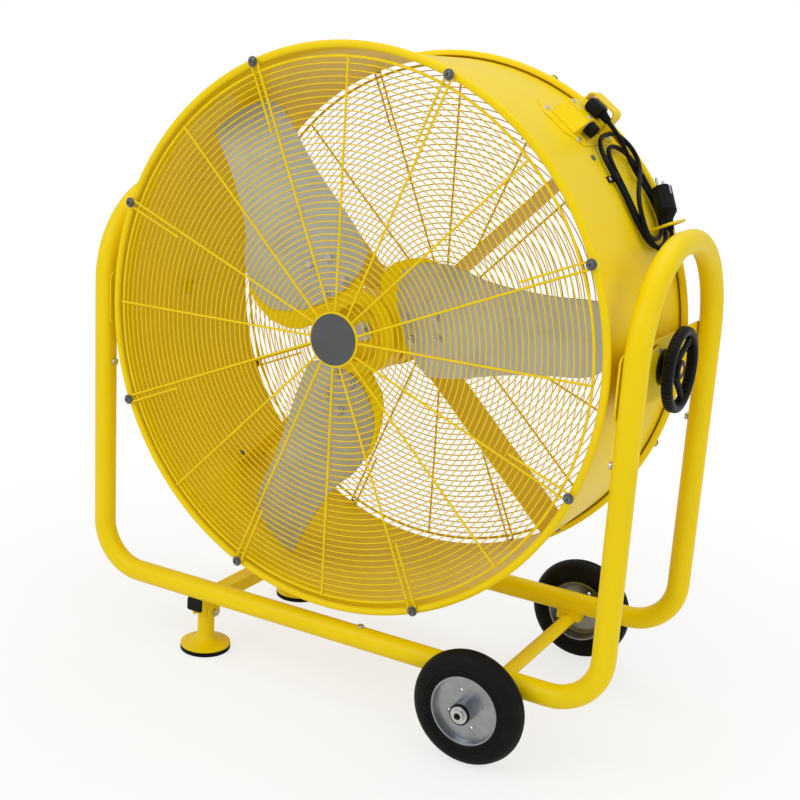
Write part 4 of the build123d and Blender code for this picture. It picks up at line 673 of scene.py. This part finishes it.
def hand_spoke(build, side, angle):
    """One spoke as loops of radius, place along the stud, half width and half thickness."""
    turn = math.radians(angle)
    out = Vector((0, math.cos(turn), math.sin(turn)))
    across = Vector((0, -math.sin(turn), math.cos(turn)))
    loops = []
    for r, x, wide, thick in SPOKE_PLACES:
        middle = Vector((side * x, 0, AXIS_Z)) + out * r
        loop = []
        for corner in range(16):
            w, t = squared_round(2 * math.pi * corner / 16, wide, thick)
            loop.append(build.verts.new(middle + across * w + Vector((t, 0, 0))))
        loops.append(loop)
    join_loops(build, loops, False)
    build.faces.new(loops[0])
    build.faces.new(loops[-1])


# %% Both handwheels
for end, side in (("wheel_end", 1), ("foot_end", -1)):
    build = bmesh.new()
    toothed_rim(build, side)
    for angle in SPOKE_TURNS:
        hand_spoke(build, side, angle)
    bmesh.ops.recalc_face_normals(build, faces=build.faces)
    rim = place_in_scene(f"hand_rim_{end}", mesh_from(build, f"hand_rim_{end}", 40))
    length = HAND_FRONT - HAND_BACK
    hub = turn_profile(f"hand_hub_{end}",
                       [(STUD_R, 0.0), (0.0172, 0.0), (0.018, 0.0010), (0.0165, length - 0.003),
                        (0.0158, length - 0.001), (0.0148, length), (STUD_R, length)],
                       (side * HAND_BACK, 0, AXIS_Z), (side, 0, 0), steps=64, closed=True)
    for piece in (rim, hub):
        dress(piece, MOULDED, f"hand_nut_{end}", f"handwheel_{end}")
    print(rim.name, len(rim.data.polygons), "faces")

# %% [markdown]
# ## Floor
# The picture has no visible horizon: the floor is as white as what is behind it. Part of the
# floor's brightness is its own, for the camera alone. That part grows with distance until it is
# all of it, and near the fan the rest is lit, so that the fan still casts its shadow there.

# %% Floor
FLOOR_REACH = 40.0
FLOOR_DROP = 0.0005
sheet = bmesh.new()
bmesh.ops.create_grid(sheet, x_segments=8, y_segments=8, size=FLOOR_REACH)
floor = place_in_scene("floor", mesh_from(sheet, "floor"))
floor.location.z = -FLOOR_DROP

# %% Pale floor finish
FLOOR_OWN = 0.72
FADE_FROM = 0.5
FADE_TO = 1.5
pale = bpy.data.materials.new("pale_floor")
pale.use_nodes = True
tree = pale.node_tree
link = tree.links.new
tree.nodes.clear()
lit = tree.nodes.new("ShaderNodeBsdfDiffuse")
mottle = tree.nodes.new("ShaderNodeTexNoise")
mottle.inputs["Scale"].default_value = 1.5
tone = tree.nodes.new("ShaderNodeValToRGB")
tone.color_ramp.elements[0].color = (0.93, 0.93, 0.93, 1)
tone.color_ramp.elements[1].color = (0.95, 0.95, 0.95, 1)
link(mottle.outputs["Fac"], tone.inputs["Fac"])
link(tone.outputs["Color"], lit.inputs["Color"])
own = tree.nodes.new("ShaderNodeEmission")
own.inputs["Color"].default_value = (1, 1, 1, 1)
own.inputs["Strength"].default_value = 1.0
spot = tree.nodes.new("ShaderNodeTexCoord")
reach = tree.nodes.new("ShaderNodeVectorMath")
reach.operation = "LENGTH"
link(spot.outputs["Object"], reach.inputs[0])
fade = tree.nodes.new("ShaderNodeMapRange")
fade.interpolation_type = "SMOOTHSTEP"
fade.inputs["From Min"].default_value = FADE_FROM
fade.inputs["From Max"].default_value = FADE_TO
fade.inputs["To Min"].default_value = FLOOR_OWN
link(reach.outputs["Value"], fade.inputs["Value"])
rays = tree.nodes.new("ShaderNodeLightPath")
share = tree.nodes.new("ShaderNodeMath")
share.operation = "MULTIPLY"
link(fade.outputs["Result"], share.inputs[1])
link(rays.outputs["Is Camera Ray"], share.inputs[0])
both = tree.nodes.new("ShaderNodeMixShader")
link(share.outputs[0], both.inputs[0])
link(lit.outputs[0], both.inputs[1])
link(own.outputs[0], both.inputs[2])
ground = tree.nodes.new("ShaderNodeOutputMaterial")
link(both.outputs[0], ground.inputs["Surface"])
floor.data.materials.append(pale)

# %% [markdown]
# ## Light
# A white room lights the fan from all sides, and three large soft lamps give it form: one from
# the left in front, a weaker one from the right, and one above. The camera sees the room as
# plain white.

# %% The white room
ROOM_LIGHT = 0.62
room = bpy.data.worlds.new("white_room")
scene.world = room
room.use_nodes = True
tree = room.node_tree
link = tree.links.new
tree.nodes.clear()
glow = tree.nodes.new("ShaderNodeBackground")
glow.inputs["Color"].default_value = (1, 1, 1, 1)
glow.inputs["Strength"].default_value = ROOM_LIGHT
seen = tree.nodes.new("ShaderNodeBackground")
seen.inputs["Color"].default_value = (1, 1, 1, 1)
seen.inputs["Strength"].default_value = 1.0
rays = tree.nodes.new("ShaderNodeLightPath")
pick = tree.nodes.new("ShaderNodeMixShader")
link(rays.outputs["Is Camera Ray"], pick.inputs[0])
link(glow.outputs[0], pick.inputs[1])
link(seen.outputs[0], pick.inputs[2])
sky = tree.nodes.new("ShaderNodeOutputWorld")
link(pick.outputs[0], sky.inputs["Surface"])

# %% The lamps


def soft_lamp(name, place, aim, size, power):
    """A large square lamp that faces a point."""
    data = bpy.data.lights.new(name, "AREA")
    data.shape = "SQUARE"
    data.size = size
    data.energy = power
    lamp = place_in_scene(name, data)
    lamp.location = place
    lamp.rotation_euler = (Vector(aim) - Vector(place)).to_track_quat("-Z", "Y").to_euler()
    print(name, power, "W")


LIT_AT = (0, 0, 0.6)
soft_lamp("key", (-1.6, -3.0, 3.2), LIT_AT, 2.2, 44)
soft_lamp("fill", (3.4, -1.2, 2.2), LIT_AT, 2.4, 22)
soft_lamp("top", (0.2, 0.6, 3.8), LIT_AT, 2.6, 30)
